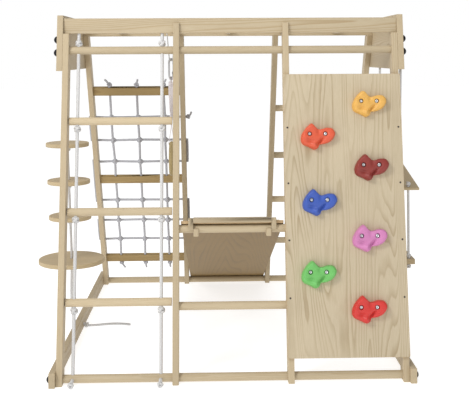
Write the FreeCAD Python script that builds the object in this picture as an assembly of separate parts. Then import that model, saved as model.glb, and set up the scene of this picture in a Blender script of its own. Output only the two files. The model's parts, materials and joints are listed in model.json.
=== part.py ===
import FreeCAD, Part
import math
import os

os.makedirs("parts", exist_ok=True)

# Wooden indoor climbing frame for children: four front legs and four rear legs make three bays.
# Left bay: rope ladder in front, climbing net behind. Middle bay: slide and gym ring. Right bay:
# climbing board with seven holds in front, ladder behind. Monkey bars run over all three bays. A rope
# with discs hangs on the left end, and a seat with a step below it on the right end.
# Millimetres. X runs along the bays, Y from front to rear, Z up. The frame is drawn about the middle
# of its base rails; the last lines move it, so that the origin is the centre of the whole frame's
# box, on the floor.

V = FreeCAD.Vector

# ---------------------------------------------------------------- driving dimensions
BAY = 456.0                     # spacing of the legs, centre to centre
POST_W = 25.0                   # leg thickness along X
POST_D = 58.0                   # leg width across its length
FRONT_FOOT_Y = -790.0           # front face of the front legs at the floor
FRONT_LEAN = 0.151              # how far the front legs lean back per unit of height
REAR_FOOT_Y = 730.0             # front face of the rear legs at the floor
REAR_LEAN = 0.540               # how far the rear legs lean forward per unit of height
RAIL_Z = 1387.0                 # underside of the top rails
RAIL_H = 63.0
RAIL_T = 25.0
FRONT_RAIL_Y = -565.0           # front face of the front rail
REAR_RAIL_Y = -5.0              # front face of the rear rail
MIDDLE_POST_TOP = 1430.0        # the middle legs run up past the rails
BAR_R = 16.25                   # round bars and rungs
SOCKET = 9.0                    # depth of a bar's blind socket in a leg
ROPE_GAP = 0.4                  # clearance of a rope in its hole

GUSSET_T = 25.0
GUSSET_BOTTOM, GUSSET_TOP = 1232.0, 1463.0
GUSSET_REAR_MARGIN = 10.0
CAP_R = 16.0                    # domed caps of the end bolts
BASE_RAIL_H = 59.0
BASE_RAIL_END = 805.0           # half length of a base rail

TOP_BAR_Z, BOTTOM_BAR_Z = 1316.0, 21.0
MIDDLE_RUNG_Z = (291.0, 590.6)
LADDER_RUNG_Z = (308.5, 661.0, 1024.5)
REAR_RUNG_Z = (267.0, 517.0, 770.0, 1024.0)
MONKEY_BAR_Z = 1412.0
MONKEY_BAR_PITCH = 257.0
MONKEY_SOCKET = 14.0

LADDER_ROPE_R = 7.0
LADDER_ROPE_X = (-634.0, -287.0)
NET_ROPE_R = 6.0
NET_KNOT_R, CROSS_KNOT_R = 13.0, 14.5      # at rope ends, and where two ropes cross
NET_BOARD_Z = (170.0, 643.0, 1118.0)
NET_BOARD_H, NET_BOARD_T = 45.0, 18.0
NET_ROW_Z = (982.0, 859.0, 740.0, 520.0, 400.0, 284.0)
NET_UPRIGHT_X = (-590.0, -456.0, -322.0)

BOARD_T = 12.0
BOARD_W = 485.0
BOARD_X = 456.0
BOARD_Z = (97.0, 1213.0)
SCREW_Z = (325.0, 548.0, 772.0, 995.0)
HOLD_BOLT_SPACING = 64.0
HOLD_H = 34.0
HOLD_SECTIONS = ((0, 1.0), (12, 0.99), (26, 0.92), (HOLD_H, 0.76))    # height, scale
HOLDS = (                       # name, middle between its two bolts: x, height above the floor
    ("yellow", 562.0, 1099.0),
    ("orange", 348.0, 968.0),
    ("brown", 564.0, 843.0),
    ("blue", 350.0, 706.0),
    ("pink", 548.0, 564.0),
    ("green", 340.0, 426.0),
    ("red", 538.0, 290.0),
)
HOLD_OUTLINE = (                # x, distance up the board, from the middle between the bolts
    (-23, 43), (-46, 24), (-62, 0), (-67, -22), (-60, -41), (-34, -54), (-13, -64),
    (2, -58), (10, -44), (34, -40), (59, -27), (74, -1), (64, 21), (40, 25), (10, 18), (-8, 30),
)

SLIDE_HALF_W = 208.0
SLIDE_T = 12.0
SLIDE_GAP = 0.5                 # clearance between the slide and the bars it lies on
SLIDE_START_Y = -678.0
SLIDE_TIP = 12.0                # flat length of the bed's lower edge on the floor
SLIDE_RAIL_W, SLIDE_RAIL_H = 15.0, 45.0
SLIDE_RAIL_START = 190.0        # where the side rails begin, measured down the bed
HOOK_X, HOOK_W = 168.0, 20.0
CATCH_X, CATCH_W = 147.0, 20.0

SIDE_ROPE_R = 5.5
KNOT_R = 11.0                   # knots of the disc rope and of the seat's ropes
POCKET_R = 16.0                 # cross hole in the left gusset, for the upper knot of the disc rope
DISC_ROPE_TOP = (-480.0, 1290.0)                # y, z of the knot in the gusset
DISC_ROPE_BEND = (-301.0, 383.0)
DISC_ROPE_SLACK = V(-719.0, -262.0, 200.0)      # the slack part turns back here
DISC_ROPE_FOOT = V(-738.0, -60.0, 40.0)         # outside the base rail
DISC_ROPE_BEND_R = 110.0
DISC_HOLE_R = 8.6               # loose, so that the discs turn on the slanting rope
LARGE_KNOT_SHIFT = 4.4          # the rope has moved back this far at the knot under the large disc
SMALL_DISC_R, LARGE_DISC_R = 92.5, 145.0
SMALL_DISC_T, LARGE_DISC_T = 17.0, 18.0
SMALL_DISC_Z = (910.0, 744.0, 583.0)
TAIL_KNOT = V(-683.0, -38.0, 12.5)
TAIL_ROUTE = (V(-672.5, -35.0, 8.5), V(-640.0, -27.0, 6.4), V(-602.0, -13.0, 5.7),
              V(-558.0, -5.0, 5.6), V(-514.0, -8.0, 5.6), V(-478.0, -21.0, 5.6))

SEAT_W, SEAT_L, SEAT_T = 146.0, 560.0, 12.0
SEAT_ROPE_R = 5.5
SEAT_FRONT = (-600.0, 727.0)            # y, z of the lower front edge
SEAT_TILT = 11.5
SEAT_ROPE_TOP_Y = (-582.0, -136.0)      # where the ropes leave the gusset
SEAT_ROPE_ALONG = (52.0, 512.0)         # rope holes, measured along the seat
STEP_ROPE_ALONG = (16.0, 430.0)
STEP_ROPE_INSET = 44.0          # from the seat's outer edge
STEP_W, STEP_T, STEP_Z = 48.0, 22.0, 420.0
STEP_OVERHANG = 16.0            # beyond its ropes, at each end
SEAT_POCKET_R = 12.5
SEAT_POCKET_WALL = 2.5          # left at the gusset's inner face
SEAT_END_KNOT_R = 9.5
SEAT_PIVOT_Z = GUSSET_BOTTOM - 1.5      # the seat's ropes turn here, at the mouths of their holes
SEAT_KNOT_Z = GUSSET_BOTTOM + 34.0
SEAT_ROPE_SLACK = 0.8           # room round the rope in its hole

RING_Y = -410.0
CORD_R = 2.5
CORD_LOOP_R = 19.6              # cord's centre line round the monkey bar
CARABINER_WIRE_R = 4.0
CARABINER_R = 15.0              # centre line radius of its two ends
CARABINER_TOP_Z, CARABINER_BOTTOM_Z = 1279.0, 1194.0
CARABINER_TURN = 35.0
GATE_R = 3.0
GATE_GAP = 0.3
STUB = 8.0                      # straight end of the wire on each side of the gate
PIN_R = 1.1
PIN_CLEARANCE = 0.07
RING_R, RING_TUBE_R = 66.0, 9.0
RING_Z = 846.0
STRAP_W, STRAP_T = 25.0, 2.0
STRAP_SLACK = 1.7               # the ring curves away under the strap's width
STRAP_SPLIT_Z = 985.0           # its two layers part here to go round the ring
STRAP_TURN = 80.0
STRAP_SECTIONS = 12

# ---------------------------------------------------------------- derived places
INNER_X = 1.5 * BAY - POST_W / 2
OUTER_X = 1.5 * BAY + POST_W / 2
SIDE_X = OUTER_X + GUSSET_T / 2
FRONT_ANGLE = math.degrees(math.atan(FRONT_LEAN))
REAR_ANGLE = math.degrees(math.atan(REAR_LEAN))
FRONT_DEPTH = POST_D / math.cos(math.radians(FRONT_ANGLE))
REAR_DEPTH = POST_D / math.cos(math.radians(REAR_ANGLE))
POST_X = [(i - 1.5) * BAY for i in range(4)]
MONKEY_BAR_X = [(i - 2) * MONKEY_BAR_PITCH for i in range(5)]


def front_face(z):
    return FRONT_FOOT_Y + FRONT_LEAN * z


def front_mid(z):
    return front_face(z) + FRONT_DEPTH / 2


def rear_face(z):
    return REAR_FOOT_Y - REAR_LEAN * z


def rear_mid(z):
    return rear_face(z) + REAR_DEPTH / 2


# ---------------------------------------------------------------- small tools
def box(x0, x1, y0, y1, z0, z1):
    return Part.makeBox(x1 - x0, y1 - y0, z1 - z0, V(x0, y0, z0))


def rod(start, end, radius):
    return Part.makeCylinder(radius, (end - start).Length, start, end - start)


def profile(points, x, width):
    """A board cut to an outline in the YZ plane, centred on x."""
    corners = [V(x - width / 2, y, z) for y, z in points]
    wire = Part.makePolygon(corners + corners[:1])
    return Part.Face(wire).extrude(V(width, 0, 0))


def cut_all(solid, tools):
    near = [t for t in tools if solid.BoundBox.intersect(t.BoundBox)]
    return solid.cut(near) if near else solid


def tube(points, radius, bend_radius=None):
    """A round tube on straight runs joined by tangent arcs. Without a bend radius, each arc is as
    large as its two runs allow."""
    edges, here, radii = [], points[0], []
    for before, corner, after in zip(points, points[1:], points[2:]):
        run_in, run_out = (corner - before), (after - corner)
        half_turn = run_in.getAngle(run_out) / 2
        shorter = min(run_in.Length, run_out.Length)
        arc_r = bend_radius or 0.45 * shorter / math.tan(half_turn)
        setback = arc_r * math.tan(half_turn)
        d_in, d_out = V(run_in).normalize(), V(run_out).normalize()
        start, end = corner - d_in * setback, corner + d_out * setback
        to_centre = (d_out - d_in).normalize()
        middle = corner + to_centre * (arc_r / math.cos(half_turn) - arc_r)
        edges += [Part.LineSegment(here, start).toShape(), Part.Arc(start, middle, end).toShape()]
        here = end
        radii.append(round(arc_r))
    edges.append(Part.LineSegment(here, points[-1]).toShape())
    path = Part.Wire(edges)
    ring = Part.Wire([Part.Circle(points[0], points[1] - points[0], radius).toShape()])
    solid = path.makePipeShell([ring], True, False)
    expected = math.pi * radius ** 2 * path.Length
    print("tube: length %.0f, radii %s, volume ratio %.4f"
          % (path.Length, radii, solid.Volume / expected))
    return solid


parts = {}


def keep(name, *solids):
    """Store one node of the model. Its solids stay separate."""
    parts[name] = solids[0] if len(solids) == 1 else Part.makeCompound(list(solids))


# ---------------------------------------------------------------- bars and rungs
def front_bar(x0, x1, z):
    return rod(V(x0, front_mid(z), z), V(x1, front_mid(z), z), BAR_R)


def rear_bar(x0, x1, z):
    return rod(V(x0, rear_mid(z), z), V(x1, rear_mid(z), z), BAR_R)


FULL = INNER_X + SOCKET
MIDDLE = BAY / 2 - POST_W / 2 + SOCKET
front_bars = [front_bar(-FULL, FULL, z) for z in (BOTTOM_BAR_Z, TOP_BAR_Z)]
middle_rungs = [front_bar(-MIDDLE, MIDDLE, z) for z in MIDDLE_RUNG_Z]
rear_bottom_bar = rear_bar(-FULL, FULL, BOTTOM_BAR_Z)
rear_rungs = [rear_bar(BAY / 2 + POST_W / 2 - SOCKET, FULL, z) for z in REAR_RUNG_Z]
monkey_bars = [rod(V(x, FRONT_RAIL_Y + RAIL_T - MONKEY_SOCKET, MONKEY_BAR_Z),
                   V(x, REAR_RAIL_Y + MONKEY_SOCKET, MONKEY_BAR_Z), BAR_R) for x in MONKEY_BAR_X]
RUNG_HALF = (BAY - POST_W) / 2 - 4
ladder_rungs = [front_bar(-BAY - RUNG_HALF, -BAY + RUNG_HALF, z) for z in LADDER_RUNG_Z]


# ---------------------------------------------------------------- rope ladder
def ladder_rope(x):
    """One rope of the ladder: up to the top rail, and through the bottom bar to a knot in front."""
    top = V(x, front_mid(RAIL_Z), RAIL_Z + 16)
    top.y = front_mid(top.z)
    low = V(x, front_mid(BOTTOM_BAR_Z), BOTTOM_BAR_Z)
    knot = V(x, FRONT_FOOT_Y - 22, 14)
    return rod(low, top, LADDER_ROPE_R), rod(knot, low, LADDER_ROPE_R), knot


def ladder_knots(x):
    """Knots above the top bar and under each rung, threaded on the rope."""
    heights = [TOP_BAR_Z + BAR_R + 13] + [z - BAR_R - 15 for z in LADDER_RUNG_Z]
    return [Part.makeSphere(13, V(x, front_mid(z), z)) for z in heights]


rope_holes, ladder_rope_solids = [], []
for x in LADDER_ROPE_X:
    long_run, foot_run, foot_knot = ladder_rope(x)
    clear = LADDER_ROPE_R + ROPE_GAP
    rope_holes.append(Part.makeCylinder(clear, 1500, V(x, front_mid(-60), -60), V(0, FRONT_LEAN, 1)))
    rope_holes.append(rod(foot_knot, V(x, front_mid(BOTTOM_BAR_Z), BOTTOM_BAR_Z), clear))
    end_knot = Part.makeSphere(14, foot_knot)
    ladder_rope_solids.append(long_run.fuse([foot_run, end_knot]).removeSplitter())
    ladder_rope_solids += [knot.cut(long_run) for knot in ladder_knots(x)]

blind_hole_limit = box(-OUTER_X, OUTER_X, -900, 900, -100, RAIL_Z + 18)
rail_rope_holes = [hole.common(blind_hole_limit) for hole in rope_holes]
bottom_bar_top = box(-OUTER_X, OUTER_X, -900, 900, BOTTOM_BAR_Z - 2, 1600)
through_holes = [rope_holes[0].common(bottom_bar_top), rope_holes[1],
                 rope_holes[2].common(bottom_bar_top), rope_holes[3]]
front_bars = [cut_all(bar, through_holes) for bar in front_bars]
ladder_rungs = [cut_all(rung, through_holes) for rung in ladder_rungs]
keep("front_bars", *front_bars)
keep("middle_rungs", *middle_rungs)
keep("rear_bottom_bar", rear_bottom_bar)
keep("rear_rungs", *rear_rungs)
keep("monkey_bars", *monkey_bars)
keep("ladder_rungs", *ladder_rungs)
keep("ladder_ropes", *ladder_rope_solids)


# ---------------------------------------------------------------- climbing net
def in_rear_plane(x, z, forward=0.0):
    """A point of the rear legs' middle plane, or square off it towards the front."""
    return V(x, rear_mid(z) - forward * REAR_DEPTH / POST_D, z)


UPRIGHT_FORWARD = NET_ROPE_R + 0.2      # uprights pass in front of the rows
ROW_FORWARD = -NET_ROPE_R - 0.2
LEFT_TURN_X = -OUTER_X - NET_ROPE_R - 0.5
RIGHT_TURN_X = -BAY / 2 + POST_W / 2 + NET_ROPE_R + 0.5


def net_route():
    """Rows joined down the outer sides of the two legs, from the right of the second leg."""
    points = [in_rear_plane(RIGHT_TURN_X + 4, NET_ROW_Z[0], ROW_FORWARD)]
    for i, heights in enumerate(zip(NET_ROW_Z, NET_ROW_Z[1:])):
        turn_x = RIGHT_TURN_X if i % 2 else LEFT_TURN_X
        points += [in_rear_plane(turn_x, z, ROW_FORWARD) for z in heights]
    points.append(in_rear_plane(RIGHT_TURN_X + 4, NET_ROW_Z[-1], ROW_FORWARD))
    return points


net_points = net_route()
net_rope = tube(net_points, NET_ROPE_R, bend_radius=8.0)
row_holes = [rod(in_rear_plane(LEFT_TURN_X - 20, z, ROW_FORWARD),
                 in_rear_plane(RIGHT_TURN_X + 20, z, ROW_FORWARD), NET_ROPE_R + ROPE_GAP)
             for z in NET_ROW_Z]
upright_reach = (NET_BOARD_Z[0] - NET_BOARD_H / 2 - 12, NET_BOARD_Z[-1] + NET_BOARD_H / 2 + 12)
net_uprights = [rod(in_rear_plane(x, upright_reach[0], UPRIGHT_FORWARD),
                    in_rear_plane(x, upright_reach[1], UPRIGHT_FORWARD), NET_ROPE_R)
                for x in NET_UPRIGHT_X]
upright_holes = [rod(in_rear_plane(x, 100, UPRIGHT_FORWARD), in_rear_plane(x, 1190, UPRIGHT_FORWARD),
                     NET_ROPE_R + ROPE_GAP) for x in NET_UPRIGHT_X]


def net_board(z):
    """A flat board set in shallow mortises of the first two rear legs, square to the legs."""
    half = (BAY - POST_W) / 2 + SOCKET
    board = Part.makeBox(2 * half, NET_BOARD_T, NET_BOARD_H, V(-half, -NET_BOARD_T / 2, -NET_BOARD_H / 2))
    board.Placement = FreeCAD.Placement(in_rear_plane(-BAY, z, UPRIGHT_FORWARD),
                                        FreeCAD.Rotation(V(1, 0, 0), REAR_ANGLE))
    return board


net_boards = [net_board(z) for z in NET_BOARD_Z]
crossings = [in_rear_plane(x, z) for x in NET_UPRIGHT_X for z in NET_ROW_Z]
end_knots = [in_rear_plane(x, z, UPRIGHT_FORWARD) for x in NET_UPRIGHT_X
             for z in (upright_reach[0] + 3, upright_reach[1] - 3)]
row_ends = [net_points[0] + V(4, 0, 0), net_points[-1] + V(4, 0, 0)]    # knots beside the second leg
net_knots = [Part.makeSphere(CROSS_KNOT_R, point).cut([net_rope] + net_uprights)
             for point in crossings]
net_knots += [Part.makeSphere(NET_KNOT_R, point).cut(net_uprights) for point in end_knots]
net_knots += [Part.makeSphere(NET_KNOT_R, point).cut(net_rope) for point in row_ends]
keep("net_boards", *[cut_all(board, upright_holes) for board in net_boards])
keep("net_rope", net_rope)
keep("net_uprights", *(net_uprights + net_knots))


# ---------------------------------------------------------------- bolts through the two ends
def end_bolt_places():
    gusset = [(mid(z), z) for z in (1307.0, 1361.0) for mid in (front_mid, rear_mid)]
    base = [(mid(20.0), 20.0) for mid in (front_mid, rear_mid)]
    return [(side, y, z) for side in (-1, 1) for y, z in gusset + base]


def end_bolt(side, y, z):
    """Cap bolt: shank into the leg, hex head under a domed cap."""
    inner = V(side * (OUTER_X - 14), y, z)
    face = V(side * (OUTER_X + GUSSET_T), y, z)
    out = V(side, 0, 0)
    shank = rod(inner, face + out, 4)
    head = rod(face, face + out * 5.3, 6.5)
    outside = Part.makeBox(20, 40, 40, V(0 if side > 0 else -20, -20, -20)).translated(face)
    cap = Part.makeSphere(CAP_R, face).common(outside)
    insert = rod(inner, V(side * OUTER_X, y, z), 6).cut(shank)
    bolt = shank.fuse(head).removeSplitter()
    return bolt, cap.cut(head), insert


frame_bolts, bolt_caps, threaded_inserts = map(list, zip(*[end_bolt(*p) for p in end_bolt_places()]))


def rail_screw(side, y):
    """Long countersunk screw through a gusset into the end of a top rail."""
    z = RAIL_Z + RAIL_H / 2
    face = V(side * (OUTER_X + GUSSET_T), y, z)
    inward = V(-side, 0, 0)
    return rod(face, face + inward * 70, 3).fuse(rod(face, face + inward * 4, 6)).removeSplitter()


rail_screws = [rail_screw(side, y + RAIL_T / 2) for side in (-1, 1) for y in (FRONT_RAIL_Y, REAR_RAIL_Y)]


# ---------------------------------------------------------------- climbing board
def on_board(x, z, shape):
    """Place a shape made with X across, Y up the slope and Z out of the board's back plane."""
    shape.Placement = FreeCAD.Placement(V(x, front_face(z), z),
                                        FreeCAD.Rotation(V(1, 0, 0), 90 - FRONT_ANGLE))
    return shape


def hold_section(height, scale):
    """The hold's outline at a height, drawn in towards a point near its middle."""
    curve = Part.BSplineCurve()
    points = [V(x * scale, u * scale, BOARD_T + height) for x, u in HOLD_OUTLINE]
    curve.interpolate(points, PeriodicFlag=True)
    return Part.Wire(curve.toShape())


def hold_blank():
    body = Part.makeLoft([hold_section(h, s) for h, s in HOLD_SECTIONS], True)
    for x in (-HOLD_BOLT_SPACING / 2, HOLD_BOLT_SPACING / 2):
        body = body.cut(Part.makeCylinder(4.3, HOLD_H, V(x, 0, BOARD_T)))
        body = body.cut(Part.makeCylinder(9.2, HOLD_H, V(x, 0, BOARD_T + 14)))
    return body


def hold_bolt(x):
    shank = Part.makeCylinder(4, BOARD_T + 16, V(x, 0, -2))
    washer = Part.makeCylinder(9, 1.6, V(x, 0, BOARD_T + 14))
    head = Part.makeCylinder(6.5, 7, V(x, 0, BOARD_T + 15.6))
    hexagon = [V(x + 3.4 * math.cos(math.radians(a)), 3.4 * math.sin(math.radians(a)), BOARD_T + 19)
               for a in range(0, 361, 60)]
    socket = Part.Face(Part.makePolygon(hexagon)).extrude(V(0, 0, 5))
    return shank.fuse([washer, head]).removeSplitter().cut(socket)


def tee_nut(x):
    flange = Part.makeCylinder(11, 1.6, V(x, 0, -1.6))
    barrel = Part.makeCylinder(5.5, 9, V(x, 0, 0))
    return flange.fuse(barrel).removeSplitter().cut(Part.makeCylinder(4, 40, V(x, 0, -20)))


def board_screw():
    return Part.makeCylinder(1.8, 36, V(0, 0, -24)).fuse(Part.makeCone(1.8, 4, 3, V(0, 0, BOARD_T - 3)))


board_bottom, board_top = [z / math.cos(math.radians(FRONT_ANGLE)) for z in BOARD_Z]
climbing_board = on_board(BOARD_X, BOARD_Z[0],
                          Part.makeBox(BOARD_W, board_top - board_bottom, BOARD_T, V(-BOARD_W / 2, 0, 0)))
blank = hold_blank()
hold_bolts, tee_nuts = [], []
for name, x, z in HOLDS:
    keep("hold_" + name, on_board(x, z, blank.copy()))
    for offset in (-HOLD_BOLT_SPACING / 2, HOLD_BOLT_SPACING / 2):
        hold_bolts.append(on_board(x, z, hold_bolt(offset)))
        tee_nuts.append(on_board(x, z, tee_nut(offset)))
board_screws = [on_board(x, z, board_screw()) for x in POST_X[2:] for z in SCREW_Z]
climbing_board = climbing_board.cut(tee_nuts + hold_bolts + board_screws)
keep("climbing_board", climbing_board)
keep("hold_bolts", *hold_bolts)
keep("wood_screws", *(board_screws + rail_screws))
keep("threaded_inserts", *(threaded_inserts + tee_nuts))
keep("frame_bolts", *frame_bolts)
keep("bolt_caps", *bolt_caps)

# ---------------------------------------------------------------- legs, rails, ends
all_bars = [front_bar(-FULL, FULL, z) for z in (BOTTOM_BAR_Z, TOP_BAR_Z)]
all_bars += middle_rungs + [rear_bottom_bar] + rear_rungs
leg_tools = all_bars + net_boards + row_holes + threaded_inserts + frame_bolts + board_screws


def front_post(x, top):
    points = [(front_face(0), 0), (front_face(0) + FRONT_DEPTH, 0)]
    points.append((front_face(RAIL_Z) + FRONT_DEPTH, RAIL_Z))
    if top > RAIL_Z:
        points += [(FRONT_RAIL_Y, RAIL_Z), (FRONT_RAIL_Y, top)]
    points.append((front_face(top), top))
    return profile(points, x, POST_W)


def rear_post(x, top):
    points = [(rear_face(0), 0), (rear_face(0) + REAR_DEPTH, 0), (rear_face(top) + REAR_DEPTH, top)]
    if top > RAIL_Z:
        points += [(REAR_RAIL_Y + RAIL_T, top), (REAR_RAIL_Y + RAIL_T, RAIL_Z)]
    points.append((rear_face(RAIL_Z), RAIL_Z))
    return profile(points, x, POST_W)


for i, x in enumerate(POST_X):
    top = MIDDLE_POST_TOP if i in (1, 2) else RAIL_Z
    keep("front_post_%d" % (i + 1), cut_all(front_post(x, top), leg_tools))
    keep("rear_post_%d" % (i + 1), cut_all(rear_post(x, top), leg_tools))

for name, y in (("front_top_rail", FRONT_RAIL_Y), ("rear_top_rail", REAR_RAIL_Y)):
    rail = box(-OUTER_X, OUTER_X, y, y + RAIL_T, RAIL_Z, RAIL_Z + RAIL_H)
    keep(name, cut_all(rail, monkey_bars + rail_screws + rail_rope_holes))


def gusset(side):
    points = [(front_face(GUSSET_BOTTOM), GUSSET_BOTTOM),
              (rear_face(GUSSET_BOTTOM) + REAR_DEPTH + GUSSET_REAR_MARGIN, GUSSET_BOTTOM),
              (rear_face(GUSSET_TOP) + REAR_DEPTH + GUSSET_REAR_MARGIN, GUSSET_TOP),
              (front_face(GUSSET_TOP), GUSSET_TOP)]
    return profile(points, side * SIDE_X, GUSSET_T)


def base_rail(side):
    x = side * SIDE_X
    return box(x - GUSSET_T / 2, x + GUSSET_T / 2, -BASE_RAIL_END, BASE_RAIL_END, 0, BASE_RAIL_H)


def pocket(x, y, z, radius, wall=0.0):
    """Cross hole in a gusset, for the knot of a rope that comes up from below."""
    start = x - GUSSET_T / 2 + wall
    return rod(V(start, y, z), V(x + GUSSET_T, y, z), radius)


# ---------------------------------------------------------------- rope with discs, left end
def disc_rope_y(z):
    """Where the rope's upper run passes at height z."""
    (y0, z0), (y1, z1) = DISC_ROPE_TOP, DISC_ROPE_BEND
    return y0 + (y1 - y0) * (z0 - z) / (z0 - z1)


def disc(z, radius, thickness, y):
    plate = Part.makeCylinder(radius, thickness, V(-SIDE_X, y, z - thickness / 2))
    plate = plate.makeFillet(3, [e for e in plate.Edges if e.BoundBox.ZLength < 0.1])
    return plate.cut(Part.makeCylinder(DISC_HOLE_R, 60, V(-SIDE_X, y, z - 30)))


disc_rope_top = V(-SIDE_X, *DISC_ROPE_TOP)
disc_rope_points = [disc_rope_top, V(-SIDE_X, *DISC_ROPE_BEND), DISC_ROPE_SLACK, DISC_ROPE_FOOT]
disc_rope_run = tube(disc_rope_points, SIDE_ROPE_R, bend_radius=DISC_ROPE_BEND_R)
foot_run = rod(DISC_ROPE_FOOT, TAIL_KNOT, SIDE_ROPE_R)
half_turn = (disc_rope_points[1] - disc_rope_top).getAngle(DISC_ROPE_SLACK - disc_rope_points[1]) / 2
large_disc_y = DISC_ROPE_BEND[0] + DISC_ROPE_BEND_R * (1 / math.cos(half_turn) - 1)
disc_rope_knots = [Part.makeSphere(KNOT_R, disc_rope_top), Part.makeSphere(12, TAIL_KNOT),
                   Part.makeSphere(SIDE_ROPE_R, DISC_ROPE_FOOT)]
knot_heights = [z - SMALL_DISC_T / 2 - KNOT_R - 0.6 for z in SMALL_DISC_Z]
disc_rope_knots += [Part.makeSphere(KNOT_R, V(-SIDE_X, disc_rope_y(z), z)) for z in knot_heights]
large_knot_z = DISC_ROPE_BEND[1] - LARGE_DISC_T / 2 - KNOT_R - 0.6
large_knot_y = DISC_ROPE_BEND[0] + LARGE_KNOT_SHIFT
disc_rope_knots.append(Part.makeSphere(KNOT_R, V(-SIDE_X, large_knot_y, large_knot_z)))
disc_rope = disc_rope_run.fuse([foot_run] + disc_rope_knots)
rail_rope_hole = rod(DISC_ROPE_FOOT, TAIL_KNOT, SIDE_ROPE_R + ROPE_GAP)
gusset_rope_hole = rod(disc_rope_top, V(-SIDE_X, disc_rope_y(1200), 1200), SIDE_ROPE_R + ROPE_GAP)
for i, z in enumerate(SMALL_DISC_Z):
    keep("small_disc_%d" % (i + 1), disc(z, SMALL_DISC_R, SMALL_DISC_T, disc_rope_y(z)))
keep("large_disc", disc(DISC_ROPE_BEND[1], LARGE_DISC_R, LARGE_DISC_T, large_disc_y))
keep("disc_rope", disc_rope)
keep("rope_tail", tube(list(TAIL_ROUTE), SIDE_ROPE_R))

# ---------------------------------------------------------------- hanging seat, right end
tilt = math.radians(SEAT_TILT)


def on_seat(x, along, up):
    """A point given along the seat from its front edge and above its underside."""
    return V(x, SEAT_FRONT[0] + along * math.cos(tilt) - up * math.sin(tilt),
             SEAT_FRONT[1] + along * math.sin(tilt) + up * math.cos(tilt))


seat = Part.makeBox(SEAT_W, SEAT_L, SEAT_T, V(-SEAT_W / 2, 0, 0))
seat = seat.makeFillet(4, [e for e in seat.Edges if e.BoundBox.XLength > 1 or e.BoundBox.YLength > 1])
seat.Placement = FreeCAD.Placement(V(SIDE_X, *SEAT_FRONT), FreeCAD.Rotation(V(1, 0, 0), SEAT_TILT))
STEP_ROPE_X = SIDE_X + SEAT_W / 2 - STEP_ROPE_INSET
step_tops = [on_seat(STEP_ROPE_X, along, SEAT_T) for along in STEP_ROPE_ALONG]
step = box(STEP_ROPE_X - STEP_W / 2, STEP_ROPE_X + STEP_W / 2, step_tops[0].y - STEP_OVERHANG,
           step_tops[1].y + STEP_OVERHANG, STEP_Z, STEP_Z + STEP_T)


def rope_end(y):
    """Fixed upper end of a seat rope: a knot in the gusset's pocket, hollowed at the turning point."""
    knot = V(SIDE_X, y, SEAT_KNOT_Z)
    pivot = V(SIDE_X, y, SEAT_PIVOT_Z)
    hollow = Part.makeSphere(SEAT_ROPE_R + 0.4, pivot)
    return rod(pivot, knot, SEAT_ROPE_R).fuse(Part.makeSphere(SEAT_END_KNOT_R, knot)).cut(hollow)


def hanging_rope(y, along):
    """Rope from the mouth of its hole in the gusset down through the seat to a knot."""
    pivot = V(SIDE_X, y, SEAT_PIVOT_Z)
    below = on_seat(SIDE_X, along, -KNOT_R - 0.5)
    ends = [Part.makeSphere(SEAT_ROPE_R, pivot), Part.makeSphere(KNOT_R, below)]
    return rod(pivot, below, SEAT_ROPE_R).fuse(ends)


def step_rope(top):
    """Rope that carries one end of the step from the seat's outer edge."""
    low = V(top.x, top.y, STEP_Z - KNOT_R - 0.5)
    high = top + V(0, 0, KNOT_R + 1)
    knots = [Part.makeSphere(KNOT_R, p) for p in (low, high, V(top.x, top.y, STEP_Z + STEP_T + KNOT_R))]
    return rod(low, high, SEAT_ROPE_R).fuse(knots)


seat_ropes = [hanging_rope(y, along) for y, along in zip(SEAT_ROPE_TOP_Y, SEAT_ROPE_ALONG)]
seat_ropes += [step_rope(top) for top in step_tops]
rope_clearances = [rod(on_seat(SIDE_X, along, -10), on_seat(SIDE_X, along, 40), SEAT_ROPE_R + 2.5)
                   for along in SEAT_ROPE_ALONG]
rope_clearances += [rod(V(top.x, top.y, STEP_Z - 30), top + V(0, 0, 40), SEAT_ROPE_R + ROPE_GAP)
                    for top in step_tops]
seat_plank = seat.cut(rope_clearances)
seat_step = step.cut(rope_clearances)
keep("seat_plank", seat_plank)
keep("seat_step", seat_step)
keep("seat_ropes", *[rope.cut([seat_plank, seat_step]) for rope in seat_ropes])
keep("seat_rope_ends", *[rope_end(y) for y in SEAT_ROPE_TOP_Y])

left_tools = frame_bolts + rail_screws + [pocket(-SIDE_X, *DISC_ROPE_TOP, POCKET_R), gusset_rope_hole]
right_tools = frame_bolts + rail_screws
right_tools += [pocket(SIDE_X, y, SEAT_KNOT_Z, SEAT_POCKET_R, SEAT_POCKET_WALL) for y in SEAT_ROPE_TOP_Y]
right_tools += [rod(V(SIDE_X, y, GUSSET_BOTTOM - 20), V(SIDE_X, y, SEAT_KNOT_Z),
                    SEAT_ROPE_R + SEAT_ROPE_SLACK) for y in SEAT_ROPE_TOP_Y]
keep("left_gusset", cut_all(gusset(-1), left_tools))
keep("right_gusset", cut_all(gusset(1), right_tools))
keep("left_base_rail", cut_all(base_rail(-1), frame_bolts + [rail_rope_hole]))
keep("right_base_rail", cut_all(base_rail(1), frame_bolts))

# ---------------------------------------------------------------- slide
rung_y, rung_z = front_mid(MIDDLE_RUNG_Z[1]), MIDDLE_RUNG_Z[1]
rear_bar_y, rear_bar_z = rear_mid(BOTTOM_BAR_Z), BOTTOM_BAR_Z
SLIDE_FALL = (rung_z - rear_bar_z) / (rear_bar_y - rung_y)
slide_angle = math.atan(SLIDE_FALL)
NOTCH_R = BAR_R + SLIDE_GAP


def bed_under(y):
    """Underside of the bed: a plane that clears the rung and the rear bottom bar by the same gap."""
    return rung_z + NOTCH_R / math.cos(slide_angle) - SLIDE_FALL * (y - rung_y)


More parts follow.
